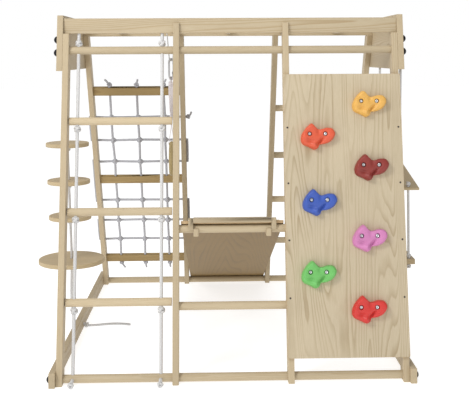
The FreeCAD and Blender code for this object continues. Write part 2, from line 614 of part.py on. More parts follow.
BED_T_Z = SLIDE_T / math.cos(slide_angle)
floor_y = rung_y + (rung_z + NOTCH_R / math.cos(slide_angle)) / SLIDE_FALL
tip_y = floor_y + SLIDE_TIP
bed = profile([(SLIDE_START_Y, bed_under(SLIDE_START_Y)), (floor_y, 0), (tip_y, 0),
               (tip_y, bed_under(tip_y) + BED_T_Z), (SLIDE_START_Y, bed_under(SLIDE_START_Y) + BED_T_Z)],
              0, 2 * SLIDE_HALF_W)


def slide_side_rail(side):
    """Guard rail standing on the bed, with its upper corners rounded."""
    start = SLIDE_START_Y + SLIDE_RAIL_START * math.cos(slide_angle)
    length = (tip_y - 10 - start) / math.cos(slide_angle)
    low = V(side * (SLIDE_HALF_W - SLIDE_RAIL_W / 2), start, bed_under(start) + BED_T_Z)
    rail = Part.makeBox(SLIDE_RAIL_W, length, SLIDE_RAIL_H, V(-SLIDE_RAIL_W / 2, 0, 0))
    ends = [e for e in rail.Edges if e.BoundBox.XLength > 1 and e.BoundBox.ZMin > 1]
    rail = rail.makeFillet(34, ends)
    rail.Placement = FreeCAD.Placement(low, FreeCAD.Rotation(V(1, 0, 0), -math.degrees(slide_angle)))
    return rail


def rung_notch(x, width):
    return rod(V(x - width, rung_y, rung_z), V(x + width, rung_y, rung_z), NOTCH_R)


NOSE_Y = rung_y - NOTCH_R - 9.5
NOSE_TOP = 636.0


def hook(x):
    """Upper hook: its front lip hangs over the rung."""
    points = [(NOSE_Y, rung_z), (rung_y, rung_z), (rung_y, NOSE_TOP - 17), (SLIDE_START_Y, NOSE_TOP - 17),
              (SLIDE_START_Y, NOSE_TOP), (NOSE_Y, NOSE_TOP)]
    return profile(points, x, HOOK_W).cut([rung_notch(x, HOOK_W), bed])


def catch(x):
    """Lower catch: hangs under the bed behind the rung and comes forward below it."""
    back = rung_y + NOTCH_R + 14
    points = [(NOSE_Y, rung_z - 27), (back, rung_z - 27), (back, bed_under(back)),
              (rung_y, bed_under(rung_y)), (rung_y, rung_z), (NOSE_Y + 7, rung_z + 6),
              (NOSE_Y, rung_z + 2)]
    whole = profile(points, x, CATCH_W).cut([rung_notch(x, CATCH_W), bed])
    return max(whole.Solids, key=lambda solid: solid.Volume)


crossbar = box(-HOOK_X + HOOK_W / 2, HOOK_X - HOOK_W / 2, NOSE_Y, SLIDE_START_Y + 14,
               NOSE_TOP - 17, NOSE_TOP)
slide_hooks = [hook(side * HOOK_X) for side in (-1, 1)] + [catch(side * CATCH_X) for side in (-1, 1)]
keep("slide_bed", bed)
keep("slide_side_rails", *[slide_side_rail(side) for side in (-1, 1)])
keep("slide_hooks", *(slide_hooks + [crossbar.cut(bed)]))


# ---------------------------------------------------------------- gym ring
def belt(x, z_top, r_top, z_low, r_low, width, y):
    """Closed flat belt round two circles, one above the other, as a filled prism."""
    span = z_top - z_low
    lean = math.asin((r_low - r_top) / span)
    cos_l, sin_l = math.cos(lean), math.sin(lean)
    right_low = V(x + r_low * cos_l, y, z_low + r_low * sin_l)
    right_top = V(x + r_top * cos_l, y, z_top + r_top * sin_l)
    left_top = V(x - r_top * cos_l, y, z_top + r_top * sin_l)
    left_low = V(x - r_low * cos_l, y, z_low + r_low * sin_l)
    edges = [Part.LineSegment(right_low, right_top).toShape(),
             Part.Arc(right_top, V(x, y, z_top + r_top), left_top).toShape(),
             Part.LineSegment(left_top, left_low).toShape(),
             Part.Arc(left_low, V(x, y, z_low - r_low), right_low).toShape()]
    return Part.Wire(edges), Part.Face(Part.Wire(edges)).extrude(V(0, width, 0))


def hanger_cord(x):
    """Closed cord loop round the monkey bar and the carabiner's top end."""
    low_r = CARABINER_WIRE_R / math.cos(math.radians(CARABINER_TURN)) + CORD_R + 0.5
    path, _ = belt(x, MONKEY_BAR_Z, CORD_LOOP_R, CARABINER_TOP_Z, low_r, 1, RING_Y)
    first = path.OrderedEdges[0]
    ring = Part.Wire([Part.Circle(first.valueAt(first.FirstParameter),
                                  first.tangentAt(first.FirstParameter), CORD_R).toShape()])
    return path.makePipeShell([ring], True, False)


def carabiner(x):
    """Body bent from one wire with a gap on one side, and the gate on a pin in the body's cheeks."""
    top = CARABINER_TOP_Z - CARABINER_R
    low = CARABINER_BOTTOM_Z + CARABINER_R
    r = CARABINER_R
    edges = [Part.LineSegment(V(0, r, top - STUB), V(0, r, top)).toShape(),
             Part.Arc(V(0, r, top), V(0, 0, top + r), V(0, -r, top)).toShape(),
             Part.LineSegment(V(0, -r, top), V(0, -r, low)).toShape(),
             Part.Arc(V(0, -r, low), V(0, 0, low - r), V(0, r, low)).toShape(),
             Part.LineSegment(V(0, r, low), V(0, r, low + STUB)).toShape()]
    section = Part.Wire([Part.Circle(V(0, r, top - STUB), V(0, 0, 1), CARABINER_WIRE_R).toShape()])
    wire = Part.Wire(edges).makePipeShell([section], True, False)
    pivot = V(0, r, low + STUB + GATE_GAP + GATE_R)
    inside, outside = GATE_R + GATE_GAP, GATE_R + GATE_GAP + 1.2
    cheeks = [box(x0, x1, r - 3.5, r + 3.5, low + 2, pivot.z + 3.5)
              for x0, x1 in ((-outside, -inside), (inside, outside))]
    pin = rod(pivot - V(outside, 0, 0), pivot + V(outside, 0, 0), PIN_R)
    body = wire.fuse(cheeks + [pin])
    gate = rod(pivot, V(0, r, top - STUB - GATE_GAP), GATE_R)
    gate = gate.fuse(Part.makeSphere(GATE_R, pivot)).removeSplitter()
    gate = gate.cut(rod(pivot - V(10, 0, 0), pivot + V(10, 0, 0), PIN_R + PIN_CLEARANCE))
    place = FreeCAD.Placement(V(x, RING_Y, 0), FreeCAD.Rotation(V(0, 0, 1), -CARABINER_TURN))
    body.Placement = place
    gate.Placement = place
    return body, gate


def ring_strap(x):
    """Webbing doubled over the ring, turned a quarter on its way up to a knot under the carabiner."""
    ring_top = RING_Z + RING_R
    gather = CARABINER_BOTTOM_Z - 24
    y = RING_Y - STRAP_W / 2
    _, outer = belt(x, STRAP_SPLIT_Z, STRAP_T, ring_top, RING_TUBE_R + STRAP_SLACK + STRAP_T, STRAP_W, y)
    _, inner = belt(x, STRAP_SPLIT_Z, 0.3, ring_top, RING_TUBE_R + STRAP_SLACK, STRAP_W, y)
    sections = []
    for k in range(STRAP_SECTIONS + 1):
        z = STRAP_SPLIT_Z + (gather - STRAP_SPLIT_Z) * k / STRAP_SECTIONS
        turn = FreeCAD.Rotation(V(0, 0, 1), 90 - STRAP_TURN * k / STRAP_SECTIONS)
        corners = [turn.multVec(V(w * STRAP_W / 2, t * STRAP_T, 0)) + V(x, RING_Y, z)
                   for w, t in ((-1, -1), (1, -1), (1, 1), (-1, 1), (-1, -1))]
        sections.append(Part.makePolygon(corners))
    doubled = Part.makeLoft(sections, True, False)
    knot = Part.makeSphere(10, V(x, RING_Y, gather + 2))
    eye = Part.makeTorus(CARABINER_WIRE_R + 0.4 + 2.5, 2.5, V(0, 0, 0), V(0, 1, 0))
    eye.Placement = FreeCAD.Placement(V(x, RING_Y, CARABINER_BOTTOM_Z),
                                      FreeCAD.Rotation(V(0, 0, 1), -CARABINER_TURN))
    neck = rod(V(x, RING_Y, gather + 8), V(x, RING_Y, CARABINER_BOTTOM_Z - CARABINER_WIRE_R - 4), 2.5)
    return outer.cut(inner).fuse([doubled, knot, eye, neck])


ring_x = MONKEY_BAR_X[1]
carabiner_body, carabiner_gate = carabiner(ring_x)
keep("hanger_cord", hanger_cord(ring_x))
keep("carabiner", carabiner_body)
keep("carabiner_gate", carabiner_gate)
keep("ring_strap", ring_strap(ring_x))
keep("ring", Part.makeTorus(RING_R, RING_TUBE_R, V(ring_x, RING_Y, RING_Z), V(1, 0, 0)))

# ---------------------------------------------------------------- origin and files
whole = Part.makeCompound(list(parts.values())).optimalBoundingBox()
to_origin = V(-whole.Center.x, -whole.Center.y, 0)
for name, shape in parts.items():
    shape.translated(to_origin).exportStep("parts/%s.step" % name)
print("moved by %.3f, %.3f, size %.1f x %.1f x %.1f"
      % (to_origin.x, to_origin.y, whole.XLength, whole.YLength, whole.ZLength))
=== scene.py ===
import json
import math
import random

import bmesh
import bpy
import numpy as np
from mathutils import Matrix, Vector

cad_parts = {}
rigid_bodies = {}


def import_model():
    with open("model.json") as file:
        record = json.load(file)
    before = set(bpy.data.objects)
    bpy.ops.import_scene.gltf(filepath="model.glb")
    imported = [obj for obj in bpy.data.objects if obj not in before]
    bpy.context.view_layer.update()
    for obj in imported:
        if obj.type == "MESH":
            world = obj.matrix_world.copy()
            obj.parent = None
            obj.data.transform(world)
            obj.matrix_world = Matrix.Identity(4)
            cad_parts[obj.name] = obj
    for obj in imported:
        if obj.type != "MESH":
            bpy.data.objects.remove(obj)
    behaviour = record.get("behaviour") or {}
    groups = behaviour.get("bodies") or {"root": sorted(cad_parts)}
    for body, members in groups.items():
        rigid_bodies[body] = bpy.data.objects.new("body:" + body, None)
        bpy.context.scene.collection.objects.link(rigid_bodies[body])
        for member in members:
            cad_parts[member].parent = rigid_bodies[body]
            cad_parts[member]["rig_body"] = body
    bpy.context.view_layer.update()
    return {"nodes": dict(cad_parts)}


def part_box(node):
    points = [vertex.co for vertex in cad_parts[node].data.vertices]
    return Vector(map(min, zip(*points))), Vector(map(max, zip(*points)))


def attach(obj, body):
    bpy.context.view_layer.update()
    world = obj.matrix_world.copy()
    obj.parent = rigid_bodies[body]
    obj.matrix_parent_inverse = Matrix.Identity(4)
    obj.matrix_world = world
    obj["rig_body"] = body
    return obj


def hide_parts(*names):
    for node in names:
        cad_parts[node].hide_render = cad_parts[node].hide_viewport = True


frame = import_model()
nodes = frame["nodes"]
random_source = random.Random(11)

# Places are in the drawing's millimetres, as in the CAD source. place() brings them into the frame,
# whose origin is on the floor, at the middle of the whole object's box.
RAIL_CORNER = (-721.5, -805.0)                  # x, y of the left base rail's front left corner
POST_D = 58.0                                   # width of a leg
FRONT_FOOT_Y, REAR_FOOT_Y = -790.0, 730.0       # front faces of the legs at the floor
FRONT_LEAN, REAR_LEAN = 0.151, 0.540            # how far the legs lean in per unit of height
FRONT_DEPTH = POST_D * math.hypot(1, FRONT_LEAN)
REAR_DEPTH = POST_D * math.hypot(1, REAR_LEAN)
BAR_R = 16.25
TOP_BAR_Z, BOTTOM_BAR_Z = 1316.0, 21.0
LADDER_RUNG_Z = (308.5, 661.0, 1024.5)
MONKEY_BAR_Z = 1412.0
BOARD_T = 12.0
SIDE_X = 709.0                                  # middle of the right gusset, and -SIDE_X of the left

# Radii of ropes are in metres.
SIDE_ROPE_R, LADDER_ROPE_R, NET_ROPE_R, CORD_R = 0.0055, 0.0070, 0.0060, 0.0025

rail_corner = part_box("left_base_rail")[0]
OFFSET = Vector((rail_corner[0] - 0.001 * RAIL_CORNER[0], rail_corner[1] - 0.001 * RAIL_CORNER[1], 0.0))


def place(x, y, z):
    return Vector((x, y, z)) * 0.001 + OFFSET


def front_mid(z):
    """Y of the middle of the front legs at a height."""
    return FRONT_FOOT_Y + FRONT_LEAN * z + FRONT_DEPTH / 2


def rear_mid(z):
    """Y of the middle of the rear legs at a height."""
    return REAR_FOOT_Y - REAR_LEAN * z + REAR_DEPTH / 2


# ---------------------------------------------------------------- materials
class Graph:
    """A node material in the making."""

    def __init__(self, name, **settings):
        self.material = bpy.data.materials.new(name)
        self.material.use_nodes = True
        self.nodes = self.material.node_tree.nodes
        self.links = self.material.node_tree.links
        self.shader = self.nodes["Principled BSDF"]
        for socket, value in settings.items():
            self.shader.inputs[socket.replace("_", " ")].default_value = value

    def add(self, kind, inputs, output=0, **settings):
        node = self.nodes.new("ShaderNode" + kind)
        for name, value in settings.items():
            setattr(node, name, value)
        for key, value in inputs.items():
            if isinstance(value, bpy.types.NodeSocket):
                self.links.new(value, node.inputs[key])
            else:
                node.inputs[key].default_value = value
        return node.outputs[output]

    def attribute(self, name, output="Vector"):
        return self.add("Attribute", {}, output, attribute_name=name)

    def stretch(self, vector, scale):
        return self.add("Mapping", {"Vector": vector, "Scale": scale})

    def noise(self, vector, scale, detail=2.0, roughness=0.5, distortion=0.0):
        return self.add("TexNoise", {"Vector": vector, "Scale": scale, "Detail": detail,
                                     "Roughness": roughness, "Distortion": distortion})

    def math(self, operation, first, second=0.0, third=0.0):
        return self.add("Math", {0: first, 1: second, 2: third}, operation=operation)

    def ramp(self, factor, *stops):
        """Each stop is a position and a grey value."""
        output = self.add("ValToRGB", {"Fac": factor})
        elements = output.node.color_ramp.elements
        while len(elements) < len(stops):
            elements.new(0.5)
        for element, (position, grey) in zip(elements, stops):
            element.position = position
            element.color = (grey, grey, grey, 1.0)
        return output

    def mix(self, factor, first, second):
        return self.add("Mix", {0: factor, 6: first, 7: second}, 2, data_type="RGBA")

    def bump(self, height, strength, distance):
        normal = self.add("Bump", {"Height": height, "Strength": strength, "Distance": distance})
        self.links.new(normal, self.shader.inputs["Normal"])

    def drive(self, socket, value):
        self.links.new(value, self.shader.inputs[socket])


def wood(name, light, dark, spacing=0.0042, lines=0.7):
    """Sawn wood. Attribute board holds metres across, through and along each piece."""
    g = Graph(name, Specular_IOR_Level=0.32)
    board = g.attribute("board")
    tint = g.attribute("tint", "Fac")
    slow = g.stretch(board, (1, 1, 0.10))
    wander = g.add("TexNoise", {"Vector": slow, "Scale": 9.0, "Detail": 2.0}, "Color")
    wander = g.add("VectorMath", {0: wander, 1: (0.5, 0.5, 0.5)}, operation="SUBTRACT")
    wander = g.add("VectorMath", {0: wander, 3: 0.030}, operation="SCALE")
    bent = g.add("VectorMath", {0: g.stretch(board, (1, 1, 0.02)), 1: wander}, operation="ADD")
    rings = g.add("TexWave", {"Vector": bent, "Scale": 0.314 / spacing, "Distortion": 0.6, "Detail": 2.0,
                              "Detail Scale": 2.0}, "Fac", wave_type="RINGS", rings_direction="Z",
                  wave_profile="SAW")
    late = g.ramp(rings, (0.0, 0.0), (0.55, 0.12), (0.93, 1.0), (1.0, 0.0))
    fibre = g.noise(g.stretch(board, (1, 1, 0.025)), 950.0, 3.0, 0.6)
    patches = g.noise(g.stretch(board, (1, 1, 0.15)), 16.0, 2.0)
    amount = g.math("MULTIPLY", late, lines)
    base = g.mix(amount, (*light, 1), (*dark, 1))
    base = g.mix(g.ramp(fibre, (0.35, 0.30), (0.65, 0.0)), base, (*dark, 1))
    value = g.math("MULTIPLY_ADD", tint, 0.22, 0.89)
    value = g.math("MULTIPLY_ADD", patches, 0.16, g.math("SUBTRACT", value, 0.08))
    base = g.add("HueSaturation", {"Color": base, "Value": value, "Saturation": 1.0})
    g.drive("Base Color", base)
    g.drive("Roughness", g.math("MULTIPLY_ADD", fibre, 0.2, 0.46))
    height = g.math("MULTIPLY_ADD", late, -0.35, fibre)
    g.bump(height, 0.22, 0.0004)
    return g.material


def veneer(name, light, dark, scale=6.5, count=34.0, arch=0.0):
    """Rotary cut face veneer: long contour lines that wander and close into loops. With an arch,
    they also lean out from the middle of the board towards one end."""
    g = Graph(name, Specular_IOR_Level=0.32)
    board = g.attribute("board")
    field = g.noise(g.stretch(board, (1, 0.2, 0.085)), scale, 1.3, 0.5, 0.25)
    if arch:
        off_middle = g.math("ABSOLUTE", g.add("SeparateXYZ", {"Vector": board}, "X"))
        lean = g.math("MULTIPLY_ADD", g.add("SeparateXYZ", {"Vector": board}, "Z"), 0.07, off_middle)
        field = g.math("MULTIPLY_ADD", lean, arch, field)
    small = g.noise(g.stretch(board, (1, 1, 0.22)), 34.0, 2.0, 0.5, 0.3)
    height = g.math("MULTIPLY_ADD", small, 0.020, field)
    line = g.math("FRACT", g.math("MULTIPLY", height, count))
    late = g.ramp(line, (0.0, 0.05), (0.50, 0.08), (0.84, 0.80), (0.92, 1.0), (1.0, 0.05))
    strong = g.ramp(g.noise(g.stretch(board, (1, 1, 0.5)), 6.0, 1.0), (0.35, 0.35), (0.65, 1.0))
    fibre = g.noise(g.stretch(board, (1, 1, 0.03)), 900.0, 3.0, 0.6)
    patches = g.noise(board, 5.0, 2.0)
    base = g.mix(g.math("MULTIPLY", g.math("MULTIPLY", late, strong), 0.85), (*light, 1), (*dark, 1))
    base = g.mix(g.ramp(fibre, (0.35, 0.26), (0.65, 0.0)), base, (*dark, 1))
    value = g.math("MULTIPLY_ADD", patches, 0.16, 0.92)
    base = g.add("HueSaturation", {"Color": base, "Value": value, "Saturation": 1.0})
    g.drive("Base Color", base)
    g.drive("Roughness", g.math("MULTIPLY_ADD", fibre, 0.2, 0.45))
    g.bump(g.math("MULTIPLY_ADD", late, -0.4, fibre), 0.18, 0.0004)
    return g.material


def ply_edge(name, light, dark):
    """Cut edge of plywood, with its plies in stripes across the thickness."""
    ply = 0.0017
    g = Graph(name, Specular_IOR_Level=0.3)
    board = g.attribute("board")
    across = g.add("SeparateXYZ", {"Vector": board}, "Y")
    stripe = g.math("PINGPONG", g.math("ADD", across, 10.0), ply)
    stripe = g.ramp(g.math("DIVIDE", stripe, ply), (0.40, 0.0), (0.60, 1.0))
    fibre = g.noise(g.stretch(board, (0.4, 1.6, 0.4)), 700.0, 3.0, 0.6)
    base = g.mix(stripe, (*light, 1), (*dark, 1))
    base = g.mix(g.ramp(fibre, (0.35, 0.45), (0.65, 0.0)), base, (*dark, 1))
    g.drive("Base Color", base)
    g.drive("Roughness", g.math("MULTIPLY_ADD", fibre, 0.2, 0.55))
    g.bump(fibre, 0.3, 0.0004)
    return g.material


def braid(name, light, dark, carriers=8, pitch=0.016):
    """Braided cord. The rope map runs once round the cord, and in metres along it."""
    g = Graph(name, Specular_IOR_Level=0.25, Sheen_Weight=0.25, Sheen_Roughness=0.6)
    uv = g.add("UVMap", {}, uv_map="rope")
    around = g.add("SeparateXYZ", {"Vector": uv}, "X")
    along = g.add("SeparateXYZ", {"Vector": uv}, "Y")
    turn = g.math("MULTIPLY", around, math.tau * carriers / 2)
    run = g.math("MULTIPLY", along, math.tau / pitch * carriers / 4)
    left = g.math("SINE", g.math("ADD", turn, run))
    right = g.math("SINE", g.math("SUBTRACT", turn, run))
    plait = g.math("MULTIPLY", left, right)
    relief = g.math("ABSOLUTE", plait)
    yarn = g.math("SINE", g.math("MULTIPLY", g.math("ADD", turn, g.math("MULTIPLY", run, 0.6)), 9.0))
    fuzz = g.noise(g.attribute("fuzz"), 900.0, 3.0, 0.7)
    # The braid is painted darker in the grooves between its strands, painted shade, and in small fibre
    # flecks.
    base = g.mix(g.ramp(relief, (0.0, 1.0), (0.35, 0.25), (0.8, 0.0)), (*light, 1), (*dark, 1))
    base = g.mix(g.ramp(fuzz, (0.3, 0.35), (0.6, 0.0)), base, (*dark, 1))
    g.drive("Base Color", base)
    g.drive("Roughness", g.math("MULTIPLY_ADD", fuzz, 0.2, 0.65))
    height = g.math("MULTIPLY_ADD", yarn, 0.08, g.math("MULTIPLY_ADD", fuzz, 0.25, relief))
    g.bump(height, 0.55, 0.0006)
    return g.material


def webbing(name, light, dark):
    """Flat woven strap. The rope map is in metres across and along it."""
    g = Graph(name, Specular_IOR_Level=0.25, Sheen_Weight=0.3)
    uv = g.add("UVMap", {}, uv_map="rope")
    warp, weft = 0.0026, 0.0022
    across = g.math("MULTIPLY", g.add("SeparateXYZ", {"Vector": uv}, "X"), math.tau / warp)
    along = g.math("MULTIPLY", g.add("SeparateXYZ", {"Vector": uv}, "Y"), math.tau / weft)
    weave = g.math("MULTIPLY", g.math("SINE", across), g.math("SINE", g.math("ADD", along, across)))
    fuzz = g.noise(g.attribute("fuzz"), 700.0, 3.0, 0.7)
    base = g.mix(g.math("MULTIPLY_ADD", weave, 0.35, 0.4), (*light, 1), (*dark, 1))
    base = g.mix(g.ramp(fuzz, (0.3, 0.3), (0.6, 0.0)), base, (*dark, 1))
    g.drive("Base Color", base)
    g.drive("Roughness", g.math("MULTIPLY_ADD", fuzz, 0.2, 0.65))
    g.bump(g.math("MULTIPLY_ADD", fuzz, 0.4, weave), 0.5, 0.0003)
    return g.material


def moulded(name, colour, rough=0.42, speckle=0.10, grain=1600.0, bump=0.12, shine=0.45):
    """Cast resin or plastic with a fine pebbled skin."""
    g = Graph(name, Specular_IOR_Level=shine)
    place_in = g.attribute("fuzz")
    fine = g.noise(place_in, grain, 2.0, 0.5)
    broad = g.noise(place_in, 45.0, 3.0, 0.55)
    dark = tuple(c * 0.70 for c in colour)
    base = g.mix(g.math("MULTIPLY", g.ramp(broad, (0.35, 1.0), (0.7, 0.0)), speckle * 2.5), (*colour, 1),
                 (*dark, 1))
    base = g.mix(g.math("MULTIPLY", g.ramp(fine, (0.3, 1.0), (0.5, 0.0)), speckle), base, (*dark, 1))
    g.drive("Base Color", base)
    g.drive("Roughness", g.math("MULTIPLY_ADD", broad, 0.18, rough - 0.09))
    g.bump(fine, bump, 0.0003)
    return g.material


def metal(name, colour, rough):
    """Plated or plain steel, with fine grain and faint broad patches."""
    g = Graph(name, Metallic=1.0)
    fine = g.noise(g.attribute("fuzz"), 1400.0, 3.0, 0.6)
    broad = g.noise(g.attribute("fuzz"), 130.0, 3.0, 0.5)
    dark = tuple(c * 0.72 for c in colour)
    g.drive("Base Color", g.mix(g.ramp(broad, (0.4, 0.0), (0.7, 0.5)), (*colour, 1), (*dark, 1)))
    g.drive("Roughness", g.math("MULTIPLY_ADD", fine, 0.25, rough - 0.12))
    g.bump(fine, 0.08, 0.0002)
    return g.material


PINE_LIGHT, PINE_DARK = (0.53, 0.445, 0.305), (0.36, 0.25, 0.125)
pine = wood("pine", PINE_LIGHT, PINE_DARK)
# Pine painted darker and browner to stand for the shade on the net boards, whose faces look forward and
# down: painted shade.
pine_painted_shade = wood("pine_painted_shade", (0.36, 0.255, 0.11), (0.24, 0.155, 0.06))
dowel = wood("pine_dowel", (0.55, 0.46, 0.315), (0.39, 0.275, 0.135), 0.0036, 0.4)
birch = wood("birch", (0.46, 0.37, 0.23), (0.34, 0.235, 0.115), 0.006, 0.35)
ring_wood = wood("ring_wood", (0.42, 0.33, 0.16), (0.30, 0.21, 0.09), 0.006, 0.35)
board_face = veneer("board_veneer", (0.56, 0.475, 0.335), (0.34, 0.255, 0.145))
# The slide bed's underside is a dark brown copy of the veneer, painted shade; its upward face takes the
# light board veneer.
slide_underside_painted_shade = veneer("slide_veneer_painted_shade", (0.235, 0.15, 0.05), (0.165, 0.105, 0.04), 4.0, 15.0, arch=2.6)
edge = ply_edge("plywood_edge", (0.72, 0.57, 0.36), (0.42, 0.27, 0.13))
white_rope = braid("white_braid", (0.78, 0.77, 0.745), (0.40, 0.40, 0.42))
net_braid = braid("net_braid", (0.58, 0.58, 0.61), (0.24, 0.24, 0.27), 8, 0.014)
thin_braid = braid("thin_braid", (0.74, 0.73, 0.71), (0.42, 0.41, 0.39), 6, 0.008)
strap_weave = webbing("strap_weave", (0.84, 0.79, 0.79), (0.55, 0.48, 0.49))
zinc = metal("zinc_plate", (0.78, 0.79, 0.80), 0.30)
steel = metal("steel", (0.55, 0.55, 0.56), 0.28)
black_screw = metal("black_screw", (0.10, 0.085, 0.075), 0.45)
black_plastic = moulded("black_plastic", (0.006, 0.006, 0.007), 0.50, 0.1, 900.0, 0.05, 0.2)
HOLD_COLOURS = {"yellow": (0.74, 0.41, 0.09), "orange": (0.68, 0.10, 0.042), "brown": (0.25, 0.030, 0.022),
                "blue": (0.040, 0.095, 0.42), "pink": (0.60, 0.21, 0.44), "green": (0.15, 0.49, 0.12),
                "red": (0.62, 0.035, 0.028)}
hold_materials = {name: moulded("hold_" + name, colour) for name, colour in HOLD_COLOURS.items()}


# ---------------------------------------------------------------- pieces made from meshes
WELD = 2e-6                                     # vertices closer than this, in metres, are one
FLAT_ANGLE = math.radians(0.4)                  # faces that turn by less are joined
CORNER_ANGLE = math.radians(38)                 # edges sharper than this are eased
WOOD_SMOOTH, SKIN_SMOOTH = math.radians(42), math.radians(35)   # shaded as one face below this


def show(name, mesh, body, stands_for=(), materials=()):
    """A visible piece that rides on its body and stands for CAD nodes."""
    for material in materials:
        mesh.materials.append(material)
    piece = bpy.data.objects.new(name, mesh)
    bpy.context.scene.collection.objects.link(piece)
    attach(piece, body)
    if stands_for:
        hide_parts(*stands_for)
    return piece


def add_fuzz(mesh):
    """Gives texture a place on the piece that moves with it."""
    layer = mesh.attributes.new("fuzz", "FLOAT_VECTOR", "POINT")
    places = np.zeros(len(mesh.vertices) * 3, np.float32)
    mesh.vertices.foreach_get("co", places)
    layer.data.foreach_set("vector", places)


def islands(bm):
    """The separate solids of a mesh, as lists of vertices."""
    seen, found = set(), []
    for first in bm.verts:
        if first in seen:
            continue
        seen.add(first)
        group, waiting = [], [first]
        while waiting:
            vert = waiting.pop()
            group.append(vert)
            for link in vert.link_edges:
                other = link.other_vert(vert)
                if other not in seen:
                    seen.add(other)
                    waiting.append(other)
        found.append(group)
    return found


def piece_axes(verts, along):
    """Middle and axes of one solid: across, through and along its grain. Where along doesn't give the
    last two, the grain runs the solid's long way and its shortest way is through."""
    faces = {face for vert in verts for face in vert.link_faces}
    centres = np.array([face.calc_center_median() for face in faces])
    weights = np.array([face.calc_area() for face in faces])
    middle = (centres * weights[:, None]).sum(0) / weights.sum()
    if along is None:
        spread = np.cov((centres - middle).T, aweights=weights)
        through, across, grain = (Vector(column) for column in np.linalg.eigh(spread)[1].T)
    else:
        grain, through = (Vector(v).normalized() for v in along)
        across = grain.cross(through).normalized()
    return Vector(middle), across, through, grain


def carve(node, material, along=None, round_edges=0.0018, edge_material=None, upper_material=None,
          pith=0.055):
    """A wooden node again, with eased edges and its own grain in each solid. A sheet can have
    another material on its cut edges, and on the face that looks up. The middle of the tree lies
    about pith metres off each piece."""
    bm = bmesh.new()
    bm.from_mesh(nodes[node].data)
    for layer in list(bm.loops.layers.uv.values()):
        bm.loops.layers.uv.remove(layer)
    bmesh.ops.remove_doubles(bm, verts=bm.verts, dist=WELD)
    bmesh.ops.dissolve_limit(bm, angle_limit=FLAT_ANGLE, verts=bm.verts, edges=bm.edges)
    if round_edges:
        sharp = [e for e in bm.edges if e.is_manifold and e.calc_face_angle(0.0) > CORNER_ANGLE]
        bmesh.ops.bevel(bm, geom=sharp, offset=round_edges, segments=3, profile=0.5, affect="EDGES",
                        clamp_overlap=False)
    bm.normal_update()
    board = bm.verts.layers.float_vector.new("board")
    tint = bm.verts.layers.float.new("tint")
    for verts in islands(bm):
        middle, across, through, grain = piece_axes(verts, along)
        shift = Vector((random_source.uniform(-0.02, 0.02), random_source.uniform(0.6, 1.4) * pith,
                        random_source.uniform(-9.0, 9.0)))
        shade = random_source.random()
        for vert in verts:
            offset = vert.co - middle
            vert[board] = Vector((offset.dot(across), offset.dot(through), offset.dot(grain))) + shift
            vert[tint] = shade
        if edge_material:
            for face in {face for vert in verts for face in vert.link_faces}:
                if abs(face.normal.dot(through)) < 0.8:
                    face.material_index = 1
                elif upper_material and face.normal.z > 0:
                    face.material_index = 2
    mesh = bpy.data.meshes.new(node + "_wood")
    bm.to_mesh(mesh)
    bm.free()
    mesh.shade_smooth()
    mesh.set_sharp_from_angle(angle=WOOD_SMOOTH)
    materials = [m for m in (material, edge_material, upper_material) if m]
    piece = show(node + "_wood", mesh, nodes[node]["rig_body"], [node], materials)
    weigh = piece.modifiers.new("even_normals", "WEIGHTED_NORMAL")
    weigh.keep_sharp = True


def recast(node, material):
    """A metal or plastic node again, with smooth shading across its round faces."""
    bm = bmesh.new()
    bm.from_mesh(nodes[node].data)
    bmesh.ops.remove_doubles(bm, verts=bm.verts, dist=WELD)
    mesh = bpy.data.meshes.new(node + "_skin")
    bm.to_mesh(mesh)
    bm.free()
    mesh.shade_smooth()
    mesh.set_sharp_from_angle(angle=SKIN_SMOOTH)
    add_fuzz(mesh)
    show(node + "_skin", mesh, nodes[node]["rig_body"], [node], [material])


